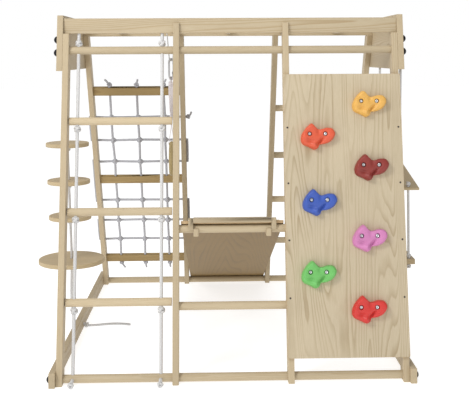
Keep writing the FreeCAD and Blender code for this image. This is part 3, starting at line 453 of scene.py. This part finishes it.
class Skin:
    """Tubes and ribbons gathered into one mesh, with the rope map."""

    def __init__(self):
        self.verts, self.faces, self.maps = [], [], []

    def frames(self, path, closed):
        """Directions along a path, and side vectors that turn no more than they must."""
        count = len(path)
        ahead = []
        for i in range(count):
            before = path[i - 1] if i or closed else path[0]
            after = path[(i + 1) % count] if i < count - 1 or closed else path[-1]
            ahead.append((after - before).normalized())
        first = min((Vector(v) for v in ((1, 0, 0), (0, 1, 0), (0, 0, 1))),
                    key=lambda v: abs(v.dot(ahead[0])))
        sides = [(first - ahead[0] * first.dot(ahead[0])).normalized()]
        for a, b in zip(ahead, ahead[1:]):
            turned = a.rotation_difference(b) @ sides[-1]
            sides.append((turned - b * turned.dot(b)).normalized())
        if closed:
            last = ahead[-1].rotation_difference(ahead[0]) @ sides[-1]
            gap = math.atan2(last.cross(sides[0]).dot(ahead[0]), last.dot(sides[0]))
            sides = [Matrix.Rotation(gap * i / count, 3, ahead[i]) @ sides[i] for i in range(count)]
        return ahead, sides

    def tube(self, path, radius, sides=12, closed=False):
        """A round tube along a path. An open one narrows at a short tip beyond each end."""
        path = [Vector(p) for p in path]
        ahead, side = self.frames(path, closed)
        radii = [radius] * len(path)
        if not closed:
            beyond, narrow = radius * 0.35, radius * 0.55
            path = [path[0] - ahead[0] * beyond, *path, path[-1] + ahead[-1] * beyond]
            ahead = [ahead[0], *ahead, ahead[-1]]
            side = [side[0], *side, side[-1]]
            radii = [narrow, *radii, narrow]
        lengths = [0.0]
        for a, b in zip(path, path[1:]):
            lengths.append(lengths[-1] + (b - a).length)
        total = lengths[-1] + (path[0] - path[-1]).length
        start, count = len(self.verts), len(path)
        for p, d, s, r in zip(path, ahead, side, radii):
            t = d.cross(s)
            for k in range(sides):
                a = math.tau * k / sides
                self.verts.append(p + (s * math.cos(a) + t * math.sin(a)) * r)
        for i in range(count if closed else count - 1):
            j = (i + 1) % count
            low, high = lengths[i], lengths[j] if j else total
            for k in range(sides):
                n = (k + 1) % sides
                this_ring, next_ring = start + i * sides, start + j * sides
                self.faces.append([this_ring + k, this_ring + n, next_ring + n, next_ring + k])
                u0, u1 = k / sides, (k + 1) / sides
                self.maps.append([(u0, low), (u1, low), (u1, high), (u0, high)])
        if not closed:
            for i, order in ((0, -1), (count - 1, 1)):
                ring = [start + i * sides + k for k in range(sides)][::order]
                self.faces.append(ring)
                self.maps.append([(k / sides, lengths[i]) for k in range(sides)][::order])

    def ribbon(self, path, width, thickness, across, closed=True):
        """A flat belt whose width lies along across, which may differ from point to point."""
        path = [Vector(p) for p in path]
        ahead, _ = self.frames(path, closed)
        count, start = len(path), len(self.verts)
        widths = across if isinstance(across, list) else [across] * count
        lengths = [0.0]
        for i in range(count):
            lengths.append(lengths[-1] + (path[(i + 1) % count] - path[i]).length)
        section = [(-1, -0.6), (-0.96, -1), (-0.5, -1), (0, -1), (0.5, -1), (0.96, -1), (1, -0.6),
                   (1, 0.6), (0.96, 1), (0.5, 1), (0, 1), (-0.5, 1), (-0.96, 1), (-1, 0.6)]
        for p, d, w_axis in zip(path, ahead, widths):
            out = d.cross(w_axis).normalized()
            for w, t in section:
                self.verts.append(p + w_axis * (w * width / 2) + out * (t * thickness / 2))
        n = len(section)
        for i in range(count if closed else count - 1):
            j = (i + 1) % count
            for k in range(n):
                m = (k + 1) % n
                this_ring, next_ring = start + i * n, start + j * n
                self.faces.append([this_ring + k, this_ring + m, next_ring + m, next_ring + k])
                u0, u1 = section[k][0] * width / 2, section[m][0] * width / 2
                self.maps.append([(u0, lengths[i]), (u1, lengths[i]), (u1, lengths[i + 1]),
                                  (u0, lengths[i + 1])])
        if not closed:
            for i, order in ((0, -1), (count - 1, 1)):
                self.faces.append([start + i * n + k for k in range(n)][::order])
                self.maps.append([(section[k][0] * width / 2, lengths[i]) for k in range(n)][::order])

    def knot(self, centre, axis, size, tilt=0.25):
        """A tight overhand knot on a rope of radius size: one closed strand that goes twice round the
        rope, and three times in and out."""
        axis = Vector(axis).normalized()
        turn = Vector((0, 0, 1)).rotation_difference(axis).to_matrix()
        turn = turn @ Matrix.Rotation(random_source.uniform(0, math.tau), 3, "Z")
        turn = turn @ Matrix.Rotation(random_source.uniform(-tilt, tilt), 3, "X")
        path = []
        for i in range(72):
            t = math.tau * i / 72
            r = size * (1.26 + 0.32 * math.cos(3 * t))
            high = size * math.sin(3 * t)
            path.append(Vector(centre) + turn @ Vector((r * math.cos(2 * t), r * math.sin(2 * t), high)))
        self.tube(path, 0.80 * size, 10, closed=True)

    def build(self, name, body, slot, material, stands_for=()):
        mesh = bpy.data.meshes.new(name)
        mesh.from_pydata([tuple(v) for v in self.verts], [], self.faces)
        layer = mesh.uv_layers.new(name="rope")
        flat = [value for face in self.maps for pair in face for value in pair]
        layer.data.foreach_set("uv", flat)
        mesh.shade_smooth()
        mesh.set_sharp_from_angle(angle=math.radians(60))
        add_fuzz(mesh)
        return show(name, mesh, body, stands_for, [material])


def between(a, b, c, d, t):
    """The point at t, from 0 to 1, of a smooth curve through a, b, c and d on its way from b to c."""
    return 0.5 * ((2 * b) + (c - a) * t + (2 * a - 5 * b + 4 * c - d) * t * t
                  + (3 * b - a - 3 * c + d) * t ** 3)


def smooth_path(points, step):
    """A smooth path through the points, sampled about every step."""
    points = [Vector(p) for p in points]
    path = []
    for i in range(len(points) - 1):
        a, b = points[max(i - 1, 0)], points[i]
        c, d = points[i + 1], points[min(i + 2, len(points) - 1)]
        count = max(2, round((c - b).length / step))
        for k in range(count):
            path.append(between(a, b, c, d, k / count))
    path.append(points[-1])
    return path


# ---------------------------------------------------------------- camera and light
# The camera is level. Its picture is shifted down, so that the frame's upright lines stay upright.
CAMERA_PLACE = (-77.9, -4202.1, 1294.4)
CAMERA_RIGHT, CAMERA_UP = Vector((0.99966, -0.02555, -0.004875)), Vector((0.004873, -0.000125, 0.99999))
# The sky is white at eye level, and dimmer overhead and on the right: axis, where it starts and
# stops fading, and how bright it is beyond. Lights and floor are in the frame's metres.
SKY_FADES = (("Z", 0.16, 0.45, 0.55), ("X", 0.35, 0.80, 0.50))
FLOOR_HALF, FLOOR_GLOW = 30.0, 0.74

camera_data = bpy.data.cameras.new("camera")
camera_data.sensor_width = 36.0
camera_data.lens = 66.76
camera_data.shift_y = -0.309
camera = bpy.data.objects.new("camera", camera_data)
bpy.context.scene.collection.objects.link(camera)
camera_turn = Matrix((CAMERA_RIGHT, CAMERA_UP, CAMERA_RIGHT.cross(CAMERA_UP))).transposed()
camera.matrix_world = Matrix.Translation(place(*CAMERA_PLACE)) @ camera_turn.to_4x4()
bpy.context.scene.camera = camera
bpy.context.scene.view_settings.view_transform = "Standard"


def area_light(name, where, target, size, power):
    """A square white light of a size in metres and a power in watts."""
    data = bpy.data.lights.new(name, "AREA")
    data.shape = "RECTANGLE"
    data.size, data.size_y = size, size
    data.energy = power
    light = bpy.data.objects.new(name, data)
    bpy.context.scene.collection.objects.link(light)
    light.location = where
    light.rotation_euler = (Vector(target) - Vector(where)).to_track_quat("-Z", "Y").to_euler()


area_light("key", (-2.7, -3.5, 3.9), (0, 0, 0.7), 1.4, 125)
area_light("fill", (2.8, -3.6, 1.8), (0, 0, 0.7), 2.5, 5)
area_light("top", (0.2, -0.6, 4.4), (0, 0, 0), 3.0, 34)

world = bpy.data.worlds.new("studio")
world.use_nodes = True
sky, sky_links = world.node_tree.nodes, world.node_tree.links
look = sky.new("ShaderNodeSeparateXYZ")
sky_links.new(sky.new("ShaderNodeTexCoord").outputs["Generated"], look.inputs[0])
strength = sky.new("ShaderNodeMath")
strength.operation = "MULTIPLY"
for i, (axis, start, end, far) in enumerate(SKY_FADES):
    fade = sky.new("ShaderNodeMapRange")
    sky_links.new(look.outputs[axis], fade.inputs["Value"])
    for socket, value in (("From Min", start), ("From Max", end), ("To Min", 1.0), ("To Max", far)):
        fade.inputs[socket].default_value = value
    sky_links.new(fade.outputs["Result"], strength.inputs[i])
sky_links.new(strength.outputs[0], sky["Background"].inputs["Strength"])
sky["Background"].inputs["Color"].default_value = (1.0, 1.0, 1.0, 1.0)
bpy.context.scene.world = world

floor_mesh = bpy.data.meshes.new("floor")
corners = [(x * FLOOR_HALF, y * FLOOR_HALF, 0) for x, y in ((-1, -1), (1, -1), (1, 1), (-1, 1))]
floor_mesh.from_pydata(corners, [], [(0, 1, 2, 3)])
floor = bpy.data.objects.new("floor", floor_mesh)
bpy.context.scene.collection.objects.link(floor)
paper = Graph("floor_paper", Specular_IOR_Level=0.1, Roughness=0.9, Emission_Color=(1, 1, 1, 1),
              Emission_Strength=FLOOR_GLOW)
paper.drive("Base Color", paper.ramp(paper.noise(paper.add("TexCoord", {}, "Object"), 3.0),
                                     (0.3, 0.54), (0.7, 0.56)))
floor_mesh.materials.append(paper.material)

# ---------------------------------------------------------------- free end of the disc rope
tail_route = [(-672.5, -35.0, 8.5), (-640.0, -27.0, 6.4), (-602.0, -13.0, 5.7), (-558.0, -5.0, 5.6),
              (-514.0, -8.0, 5.6), (-478.0, -21.0, 5.6)]


def nurbs_line(route, name):
    """The smooth line of a rope through its control points, as points along it."""
    curve = bpy.data.curves.new(name, "CURVE")
    curve.dimensions = "3D"
    curve.resolution_u = 16
    spline = curve.splines.new("NURBS")
    spline.points.add(len(route) - 1)
    for point, where in zip(spline.points, route):
        point.co = (*place(*where), 1.0)
    spline.order_u = 3
    spline.use_endpoint_u = True
    guide = bpy.data.objects.new(name, curve)
    line = [v.co.copy() for v in bpy.data.meshes.new_from_object(guide).vertices]
    bpy.data.objects.remove(guide)
    return line


tail_path = nurbs_line(tail_route, "tail_route")
tail = Skin()
tail.tube(tail_path, SIDE_ROPE_R, 16)
rope_tail = tail.build("rope_tail_braid", "frame", "white_rope", white_rope, ["rope_tail"])

# ---------------------------------------------------------------- parts of wood, metal and plastic
# The way the grain runs, and the way through the sheet.
DISC_GRAIN = ((0.9, 0.43, 0), (0, 0, 1))
BOARD_GRAIN = ((0, FRONT_LEAN, 1), (0, -1, FRONT_LEAN))
SHEET_EDGE = 0.0008                             # a sheet's edges are eased less than a leg's

for i in range(1, 5):
    carve("front_post_%d" % i, pine)
    carve("rear_post_%d" % i, pine)
for node in ("front_top_rail", "rear_top_rail", "left_base_rail", "right_base_rail", "left_gusset",
             "right_gusset", "slide_side_rails"):
    carve(node, pine)
carve("slide_hooks", pine, pith=0.085)
# The net boards take the darker pine as painted shade.
carve("net_boards", pine_painted_shade)
for node in ("front_bars", "middle_rungs", "rear_bottom_bar", "rear_rungs", "monkey_bars", "ladder_rungs"):
    carve(node, dowel, round_edges=0.0)
for node in ("small_disc_1", "small_disc_2", "small_disc_3", "large_disc"):
    carve(node, birch, along=DISC_GRAIN, round_edges=0.0)
carve("seat_plank", birch)
carve("seat_step", birch)
carve("climbing_board", board_face, along=BOARD_GRAIN, round_edges=SHEET_EDGE, edge_material=edge)
# The bed's underside gets the dark copy of the veneer as painted shade, and its upper face the light
# veneer.
carve("slide_bed", slide_underside_painted_shade, round_edges=SHEET_EDGE, edge_material=edge, upper_material=board_face)
for node, material in (("frame_bolts", zinc), ("threaded_inserts", zinc), ("hold_bolts", zinc),
                       ("wood_screws", black_screw), ("bolt_caps", black_plastic),
                       ("carabiner", steel), ("carabiner_gate", steel)):
    recast(node, material)


# ---------------------------------------------------------------- climbing holds
HOLD_OUTLINE = [(-23, 43), (-46, 24), (-62, 0), (-67, -22), (-60, -41), (-34, -54), (-13, -64), (2, -58),
                (10, -44), (34, -40), (59, -27), (74, -1), (64, 21), (40, 25), (10, 18), (-8, 30)]
HOLD_CENTRE = Vector((2, -9))
HOLD_BOLT_X = 32                                # on each side of the middle
HOLD_HOLES = ((4.3, -5, 30), (9.2, 14, 60))     # bolt hole and its wider mouth: radius, from, to
RIM_START, RIM_RISE, RIM_POWER = 0.03, 0.16, 2.4        # how the face rises from its rim
RIM_STEPS = (0.0, 0.0, 0.012, 0.03, 0.055, 0.09, 0.13, 0.18, 0.24, 0.31, 0.39, 0.47, 0.56, 0.65,
             0.74, 0.83, 0.92)                  # rings of the face, as parts of the way in
HOLDS = {"yellow": (562, 1099), "orange": (348, 968), "brown": (564, 843), "blue": (350, 706),
         "pink": (548, 564), "green": (340, 426), "red": (538, 290)}        # x, height of the middle


def hill(x, y, cx, cy, wide, high, turn=0.0):
    """A smooth hill of height 1 at cx, cy."""
    dx, dy = x - cx, y - cy
    c, s = math.cos(turn), math.sin(turn)
    a, b = (dx * c + dy * s) / wide, (-dx * s + dy * c) / high
    return math.exp(-a * a - b * b)


def hold_height(x, y):
    """Height of the hold's face above the board, before it falls away to its rim: a level face that
    drops at its foot, with ridges added and hollows taken away."""
    h = 27.0
    down = min(1.0, max(0.0, (-y - 14.0 + 0.25 * abs(x + 20.0)) / 44.0))
    h -= 10.0 * down * down
    h += 15.0 * hill(x, y, -10, -49, 14, 15, 0.4)
    h += 6.0 * hill(x, y, -50, -8, 13, 30, 0.25)
    h += 5.0 * hill(x, y, -24, 30, 14, 12)
    h += 5.0 * hill(x, y, 56, -6, 20, 20)
    h -= 13.0 * hill(x, y, 13, -30, 6.5, 26, -0.75)
    h -= 6.0 * hill(x, y, 6, 14, 9, 18)
    h -= 8.0 * hill(x, y, -28, -28, 24, 7, -0.15)
    h -= 3.0 * hill(x, y, 30, 0, 15, 14)
    return h


def closed_outline(points, samples):
    """Smooth closed curve through the points."""
    n = len(points)
    out = []
    for i in range(n):
        a, b, c, d = (Vector(points[(i + k) % n]) for k in (-1, 0, 1, 2))
        for k in range(samples):
            out.append(between(a, b, c, d, k / samples))
    return out


def hold_blank():
    """One hold without its holes, in its own plane: x across, y up the board, z out of its face."""
    outline = closed_outline(HOLD_OUTLINE, 8)
    bm = bmesh.new()
    rings = []
    for level, inward in enumerate(RIM_STEPS):
        part = min(1.0, (inward + RIM_START) / RIM_RISE) if level else 0.0
        risen = 1.0 - (1.0 - part) ** RIM_POWER
        ring = []
        for p in outline:
            q = p + (HOLD_CENTRE - p) * inward
            ring.append(bm.verts.new((q.x, q.y, hold_height(q.x, q.y) * risen)))
        rings.append(ring)
    n = len(outline)
    for low, high in zip(rings, rings[1:]):
        for i in range(n):
            bm.faces.new((low[i], low[(i + 1) % n], high[(i + 1) % n], high[i]))
    top = bm.verts.new((*HOLD_CENTRE, hold_height(*HOLD_CENTRE)))
    for i in range(n):
        bm.faces.new((rings[-1][i], rings[-1][(i + 1) % n], top))
    bm.faces.new(rings[0][::-1])
    bmesh.ops.recalc_face_normals(bm, faces=bm.faces)
    mesh = bpy.data.meshes.new("hold_blank")
    bm.to_mesh(mesh)
    bm.free()
    return mesh


def hold_cutter():
    """Round pegs in the places of its two bolt holes and their wider mouths."""
    bm = bmesh.new()
    for x in (-HOLD_BOLT_X, HOLD_BOLT_X):
        for radius, low, high in HOLD_HOLES:
            middle = Matrix.Translation((x, 0, (low + high) / 2))
            bmesh.ops.create_cone(bm, cap_ends=True, segments=40, radius1=radius, radius2=radius,
                                  depth=high - low, matrix=middle)
    mesh = bpy.data.meshes.new("hold_cutter")
    bm.to_mesh(mesh)
    bm.free()
    return mesh


def hold_mesh():
    """One hold with its holes, in metres."""
    blank = bpy.data.objects.new("hold_blank", hold_blank())
    cutter = bpy.data.objects.new("hold_cutter", hold_cutter())
    for piece in (blank, cutter):
        bpy.context.scene.collection.objects.link(piece)
    cut = blank.modifiers.new("holes", "BOOLEAN")
    cut.object = cutter
    cut.operation = "DIFFERENCE"
    cut.solver = "EXACT"
    cut.use_self = True
    result = bpy.data.meshes.new_from_object(blank.evaluated_get(bpy.context.evaluated_depsgraph_get()))
    for piece in (blank, cutter):
        bpy.data.objects.remove(piece)
    result.transform(Matrix.Scale(0.001, 4))
    return result


plain_hold = hold_mesh()
lean = math.atan(FRONT_LEAN)
up_board = Vector((0, math.sin(lean), math.cos(lean)))
outward = Vector((0, -math.cos(lean), math.sin(lean)))
for colour, (x, z) in HOLDS.items():
    mesh = plain_hold.copy()
    back_middle = place(x, FRONT_FOOT_Y + FRONT_LEAN * z, z) + outward * 0.001 * BOARD_T
    turn = Matrix((Vector((1, 0, 0)), up_board, outward)).transposed()
    mesh.transform(Matrix.Translation(back_middle) @ turn.to_4x4())
    mesh.shade_smooth()
    mesh.set_sharp_from_angle(angle=math.radians(48))
    mesh.materials.clear()
    add_fuzz(mesh)
    node = "hold_" + colour
    show(node + "_cast", mesh, "frame", [node], [hold_materials[colour]])

# ---------------------------------------------------------------- rope ladder
LADDER_ROPE_X = (-634.0, -287.0)
LADDER_TOP_Z = 1403.0                           # the ropes end here, in the top rail
LADDER_FOOT = (-812.0, 14.0)                    # y, z of the knots before the bottom bar
LADDER_KNOTS = [TOP_BAR_Z + BAR_R + 13] + [z - BAR_R - 15 for z in LADDER_RUNG_Z]

ladder = Skin()
for x in LADDER_ROPE_X:
    run = [place(x, front_mid(z), z) for z in (LADDER_TOP_Z, TOP_BAR_Z, LADDER_RUNG_Z[1], BOTTOM_BAR_Z)]
    foot = place(x, *LADDER_FOOT)
    ladder.tube(smooth_path(run, 0.02), LADDER_ROPE_R, 14)
    ladder.tube([run[-1], foot], LADDER_ROPE_R, 14)
    for z in LADDER_KNOTS:
        ladder.knot(place(x, front_mid(z), z), (run[0] - run[-1]).normalized(), 0.98 * LADDER_ROPE_R)
    ladder.knot(foot, foot - run[-1], 0.82 * LADDER_ROPE_R)
ladder.build("ladder_ropes_braid", "frame", "white_rope", white_rope, ["ladder_ropes"])

# ---------------------------------------------------------------- climbing net
ROWS = (982.0, 859.0, 740.0, 520.0, 400.0, 284.0)
UPRIGHTS = (-590.0, -456.0, -322.0)
BOARDS = (170.0, 643.0, 1118.0)
BOARD_MOUTHS = (-24, 24)                        # an upright enters and leaves a board here
ROW_ENDS = (-656.0, -254.0)                     # the rows reach the two legs here
ROW_TURNS = (-702.5, -209.5)                    # and run down their far sides here
TIED_X, TIED_KNOT_X = -205.5, -201.5            # the rope's own ends and their knots
UPRIGHT_ENDS = (135.5, 1152.5)
UPRIGHT_KNOTS = (138.5, 1149.5)
LOOSE_END_R = 0.0050                            # metres
OFF_PLANE = 6.2 * math.hypot(1, REAR_LEAN)      # the rows are this far behind the legs' middle


def rear(x, z, off=OFF_PLANE):
    """A place on a row, or with -OFF_PLANE on an upright."""
    return place(x, rear_mid(z) + off, z)


def row_turn(x, z, next_z, inward):
    """The rope round the far side of a leg, from one row down to the next."""
    return [rear(x + inward, z), rear(x, z - 9), rear(x, next_z + 9), rear(x + inward, next_z)]


def loose_end(skin, points):
    """The short end of a rope beyond its knot."""
    skin.tube(smooth_path(points, 0.004), LOOSE_END_R, 10)


net = Skin()
sag = {(x, z): random_source.uniform(-2.0, 2.0) for x in UPRIGHTS for z in ROWS}
net_points = [rear(TIED_X, ROWS[0])]
for i, z in enumerate(ROWS):
    step = 1 if i % 2 else -1                   # every second row runs from left to right
    row = [(ROW_ENDS[0], z)] + [(x, z + sag[x, z]) for x in UPRIGHTS] + [(ROW_ENDS[1], z)]
    net_points += [rear(x, height) for x, height in row[::step]]
    if i < len(ROWS) - 1:
        net_points += row_turn(ROW_TURNS[step > 0], z, ROWS[i + 1], -5.0 * step)
net_points.append(rear(TIED_X, ROWS[-1]))
net.tube(smooth_path(net_points, 0.005), NET_ROPE_R, 12)
net.build("net_rope_braid", "frame", "net_rope", net_braid, ["net_rope"])

uprights = Skin()
for x in UPRIGHTS:
    heights = sorted(list(ROWS) + [z + off for z in BOARDS for off in BOARD_MOUTHS])
    points = [rear(x + (sag[x, z] * 1.2 if z in ROWS else 0), z, -OFF_PLANE) for z in heights]
    points = [rear(x, UPRIGHT_ENDS[0], -OFF_PLANE), *points, rear(x, UPRIGHT_ENDS[1], -OFF_PLANE)]
    uprights.tube(smooth_path(points, 0.006), NET_ROPE_R, 12)
    along = (points[-1] - points[0]).normalized()
    for z in ROWS:
        uprights.knot(rear(x + sag[x, z] * 0.6, z + sag[x, z] * 0.6, 0.0), along, 1.054 * NET_ROPE_R)
    for z, sign in zip(UPRIGHT_KNOTS, (-1, 1)):
        middle = rear(x, z, -OFF_PLANE)
        uprights.knot(middle, along, 0.95 * NET_ROPE_R)
        swing = random_source.uniform(-1, 1)
        loose_end(uprights, [middle, middle + Vector((0.010 * swing, -0.006, 0.013 * sign)),
                             middle + Vector((0.022 * swing, -0.012, 0.026 * sign))])
for z in (ROWS[0], ROWS[-1]):
    middle = rear(TIED_KNOT_X, z)
    uprights.knot(middle, (1, 0, 0), 0.90 * NET_ROPE_R)
    loose_end(uprights, [middle, middle + Vector((0.010, -0.004, 0.010)),
                         middle + Vector((0.016, -0.010, 0.024))])
uprights.build("net_uprights_braid", "frame", "net_rope", net_braid, ["net_uprights"])

# ---------------------------------------------------------------- rope with discs
DISC_ROPE_TOP, DISC_ROPE_BEND = (-480.0, 1290.0), (-301.0, 383.0)       # y, z of its straight run
DISC_ROPE_LEAN = (DISC_ROPE_BEND[0] - DISC_ROPE_TOP[0]) / (DISC_ROPE_TOP[1] - DISC_ROPE_BEND[1])
DISC_ROPE_FOOT = (-738.0, -60.0, 40.0)          # outside the base rail
TAIL_KNOT = (-683.0, -38.0, 12.5)
DISCS = ((910.0, 17.0), (744.0, 17.0), (583.0, 17.0), (383.0, 18.0))    # middle's height, thickness
KNOT_BELOW = 11.6                               # from a disc's underside to the middle of its knot


def on_disc_rope(z):
    """A place on the straight run, in millimetres."""
    return (-SIDE_X, DISC_ROPE_TOP[0] + DISC_ROPE_LEAN * (DISC_ROPE_TOP[1] - z), z)


disc_route = [on_disc_rope(z) for z in (DISC_ROPE_TOP[1], 840.0, 440.0, DISC_ROPE_BEND[1])]
disc_route += [(-715.0, -278.0, 275.0), (-719.0, -262.0, 200.0), (-723.0, -220.0, 166.0), DISC_ROPE_FOOT]
foot, tail_knot = place(*DISC_ROPE_FOOT), place(*TAIL_KNOT)
disc_rope = Skin()
disc_rope.tube(nurbs_line(disc_route, "disc_route"), SIDE_ROPE_R, 14)
disc_rope.tube([foot.lerp(tail_knot, k / 10) for k in range(11)], SIDE_ROPE_R, 14)
top = place(*on_disc_rope(DISC_ROPE_TOP[1]))
slant = (place(*on_disc_rope(500.0)) - top).normalized()
disc_rope.knot(top, slant, 0.95 * SIDE_ROPE_R)
for z, thick in DISCS:
    disc_rope.knot(place(*on_disc_rope(z - thick / 2 - KNOT_BELOW)), slant, 0.98 * SIDE_ROPE_R)
disc_rope.knot(tail_knot, (1, 0.15, 0), 1.02 * SIDE_ROPE_R)
disc_rope.build("disc_rope_braid", "frame", "white_rope", white_rope, ["disc_rope"])

# ---------------------------------------------------------------- ropes of the hanging seat
SEAT_FRONT = (-600.0, 727.0)                    # y, z of the plank's lower front edge
SEAT_TILT = math.radians(11.5)
SEAT_T, STEP_T, STEP_Z = 12.0, 22.0, 420.0
SEAT_ROPES = ((-582.0, 52.0), (-136.0, 512.0))  # y at the gusset, distance along the plank
SEAT_PIVOT_Z = 1230.5
ROPE_END_Z = (1237.5, 1252.0, 1266.0)           # in the gusset, up to the knot in its pocket
STEP_ROPE_X, STEP_ROPE_ALONG = 738.0, (16.0, 430.0)
KNOT_OFF = 11.5                                 # from a face to the middle of the knot on it
POCKET_KNOT, STEP_KNOT = 0.00391, 0.0045        # sizes of tight knots, in metres


def on_seat(x, along, up):
    return place(x, SEAT_FRONT[0] + along * math.cos(SEAT_TILT) - up * math.sin(SEAT_TILT),
                 SEAT_FRONT[1] + along * math.sin(SEAT_TILT) + up * math.cos(SEAT_TILT))


seat, rope_ends = Skin(), Skin()
for y, along in SEAT_ROPES:
    pivot = place(SIDE_X, y, SEAT_PIVOT_Z)
    below = on_seat(SIDE_X, along, -KNOT_OFF)
    seat.tube([pivot.lerp(below, k / 16) for k in range(17)], SIDE_ROPE_R, 12)
    seat.knot(below, below - pivot, 0.95 * SIDE_ROPE_R)
    run = [place(SIDE_X, y, z) for z in ROPE_END_Z]
    rope_ends.tube(run, SIDE_ROPE_R, 12)
    rope_ends.knot(run[-1], (0, 0, 1), POCKET_KNOT, tilt=0.0)
for along in STEP_ROPE_ALONG:
    on_plank = on_seat(STEP_ROPE_X, along, SEAT_T)
    top = on_plank + Vector((0, 0, 0.012))
    low, above_step = on_plank.copy(), on_plank.copy()
    low.z = 0.001 * (STEP_Z - KNOT_OFF)
    above_step.z = 0.001 * (STEP_Z + STEP_T + 11.0)
    seat.tube([low.lerp(top, k / 12) for k in range(13)], SIDE_ROPE_R, 12)
    for where in (low, top, above_step):
        seat.knot(where, (0, 0, 1), STEP_KNOT)
seat.build("seat_ropes_braid", "hanging_seat", "white_rope", white_rope, ["seat_ropes"])
rope_ends.build("seat_rope_ends_braid", "frame", "white_rope", white_rope, ["seat_rope_ends"])


# ---------------------------------------------------------------- gym ring
RING_X, RING_Y, RING_Z = -257.0, -410.0, 846.0
RING_R, RING_TUBE_R = 66.0, 9.0
CORD_LOOP_R = 19.6                              # the cord's middle line round the monkey bar
CARABINER_TOP_Z, CARABINER_BOTTOM_Z = 1279.0, 1194.0
CARABINER_WIRE_R, CARABINER_TURN = 4.0, math.radians(35)
CORD_BEND_R = CARABINER_WIRE_R / math.cos(CARABINER_TURN) + 3.0     # over the wire, at a slant
STRAP_SPLIT_Z, STRAP_SPLIT_R = 985.0, 1.15      # below this the strap opens round the ring
STRAP_LOW_Z, STRAP_LOW_R = 912.0, 11.7
STRAP_TWIST_H = 185.0                           # above the split its two layers turn together
STRAP_TURN = 80.0                               # by this many degrees, up to the hook
STRAP_W, STRAP_T = 0.025, 0.0019                # metres
STRAP_HALF_GAP = 1.05                           # from the middle to each of its two layers
EYE_R = 0.0069                                  # cord's middle line round the hook, in metres
STRAP_KNOT_Z = 1173.0


def belt_path(z_top, r_top, z_low, r_low, step):
    """The middle line of a belt round two circles, one above the other."""
    angle = math.asin((r_low - r_top) / (z_top - z_low))
    arc = 14
    top, low = [], []
    for k in range(arc + 1):
        a = angle + (math.pi - 2 * angle) * k / arc
        top.append(Vector((RING_X + r_top * math.cos(a), RING_Y, z_top + r_top * math.sin(a))))
        a = math.pi - angle + (math.pi + 2 * angle) * k / arc
        low.append(Vector((RING_X + r_low * math.cos(a), RING_Y, z_low + r_low * math.sin(a))))
    count = round((z_top - z_low) / step)
    path = top + [top[-1].lerp(low[0], k / count) for k in range(1, count)] + low
    path += [low[-1].lerp(top[0], k / count) for k in range(1, count)]
    return [place(*p) for p in path]


cord = Skin()
around_bar = belt_path(MONKEY_BAR_Z, CORD_LOOP_R, CARABINER_TOP_Z, CORD_BEND_R, 6.0)
cord.tube(around_bar, CORD_R, 10, closed=True)
cord.build("hanger_cord_braid", "ring_hanger", "thin_cord", thin_braid, ["hanger_cord"])
strap = Skin()
around_ring = belt_path(STRAP_SPLIT_Z, STRAP_SPLIT_R, STRAP_LOW_Z, STRAP_LOW_R, 5.0)
strap.ribbon(around_ring, STRAP_W, STRAP_T, Vector((0, 1, 0)))
sections = 24
for side in (-1, 1):
    path, across = [], []
    for k in range(sections + 1):
        turn = math.radians(90 - STRAP_TURN * k / sections)
        across.append(Vector((math.cos(turn), math.sin(turn), 0)))
        off = Vector((-math.sin(turn), math.cos(turn), 0)) * (STRAP_HALF_GAP * side)
        path.append(place(RING_X, RING_Y, STRAP_SPLIT_Z + STRAP_TWIST_H * k / sections) + off * 0.001)
    strap.ribbon(path, STRAP_W, STRAP_T, across, closed=False)
eye_middle = place(RING_X, RING_Y, CARABINER_BOTTOM_Z)
eye = [eye_middle + Vector((EYE_R * math.cos(a), 0, EYE_R * math.sin(a)))
       for a in (math.tau * k / 24 for k in range(24))]
strap.tube(eye, CORD_R, 10, closed=True)
strap.knot(place(RING_X, RING_Y, STRAP_KNOT_Z), (0, 0, 1), 2 * CORD_R)
strap.tube([place(RING_X, RING_Y, STRAP_KNOT_Z + 5), place(RING_X, RING_Y, STRAP_KNOT_Z + 14)], CORD_R, 10)
strap.build("ring_strap_weave", "hanging_ring", "webbing", strap_weave, ["ring_strap"])

ring_mesh = bpy.data.meshes.new("ring_wood")
around, sides = 96, 24
verts, faces, grain = [], [], []
for i in range(around):
    a = math.tau * i / around
    for k in range(sides):
        b = math.tau * k / sides
        out, off = RING_TUBE_R * math.cos(b), RING_TUBE_R * math.sin(b)
        r = RING_R + out
        verts.append(place(RING_X + off, RING_Y + r * math.sin(a), RING_Z + r * math.cos(a)))
        grain += [0.001 * out + 0.03, 0.001 * off + 0.03, 0.001 * RING_R * abs(math.pi - a)]
        this_ring, next_ring, n = i * sides, (i + 1) % around * sides, (k + 1) % sides
        faces.append((this_ring + k, this_ring + n, next_ring + n, next_ring + k))
ring_mesh.from_pydata(verts, [], faces)
ring_mesh.attributes.new("board", "FLOAT_VECTOR", "POINT").data.foreach_set("vector", grain)
ring_mesh.attributes.new("tint", "FLOAT", "POINT").data.foreach_set("value", [0.4] * len(verts))
ring_mesh.shade_smooth()
show("ring_wood", ring_mesh, "hanging_ring", ["ring"], [ring_wood])
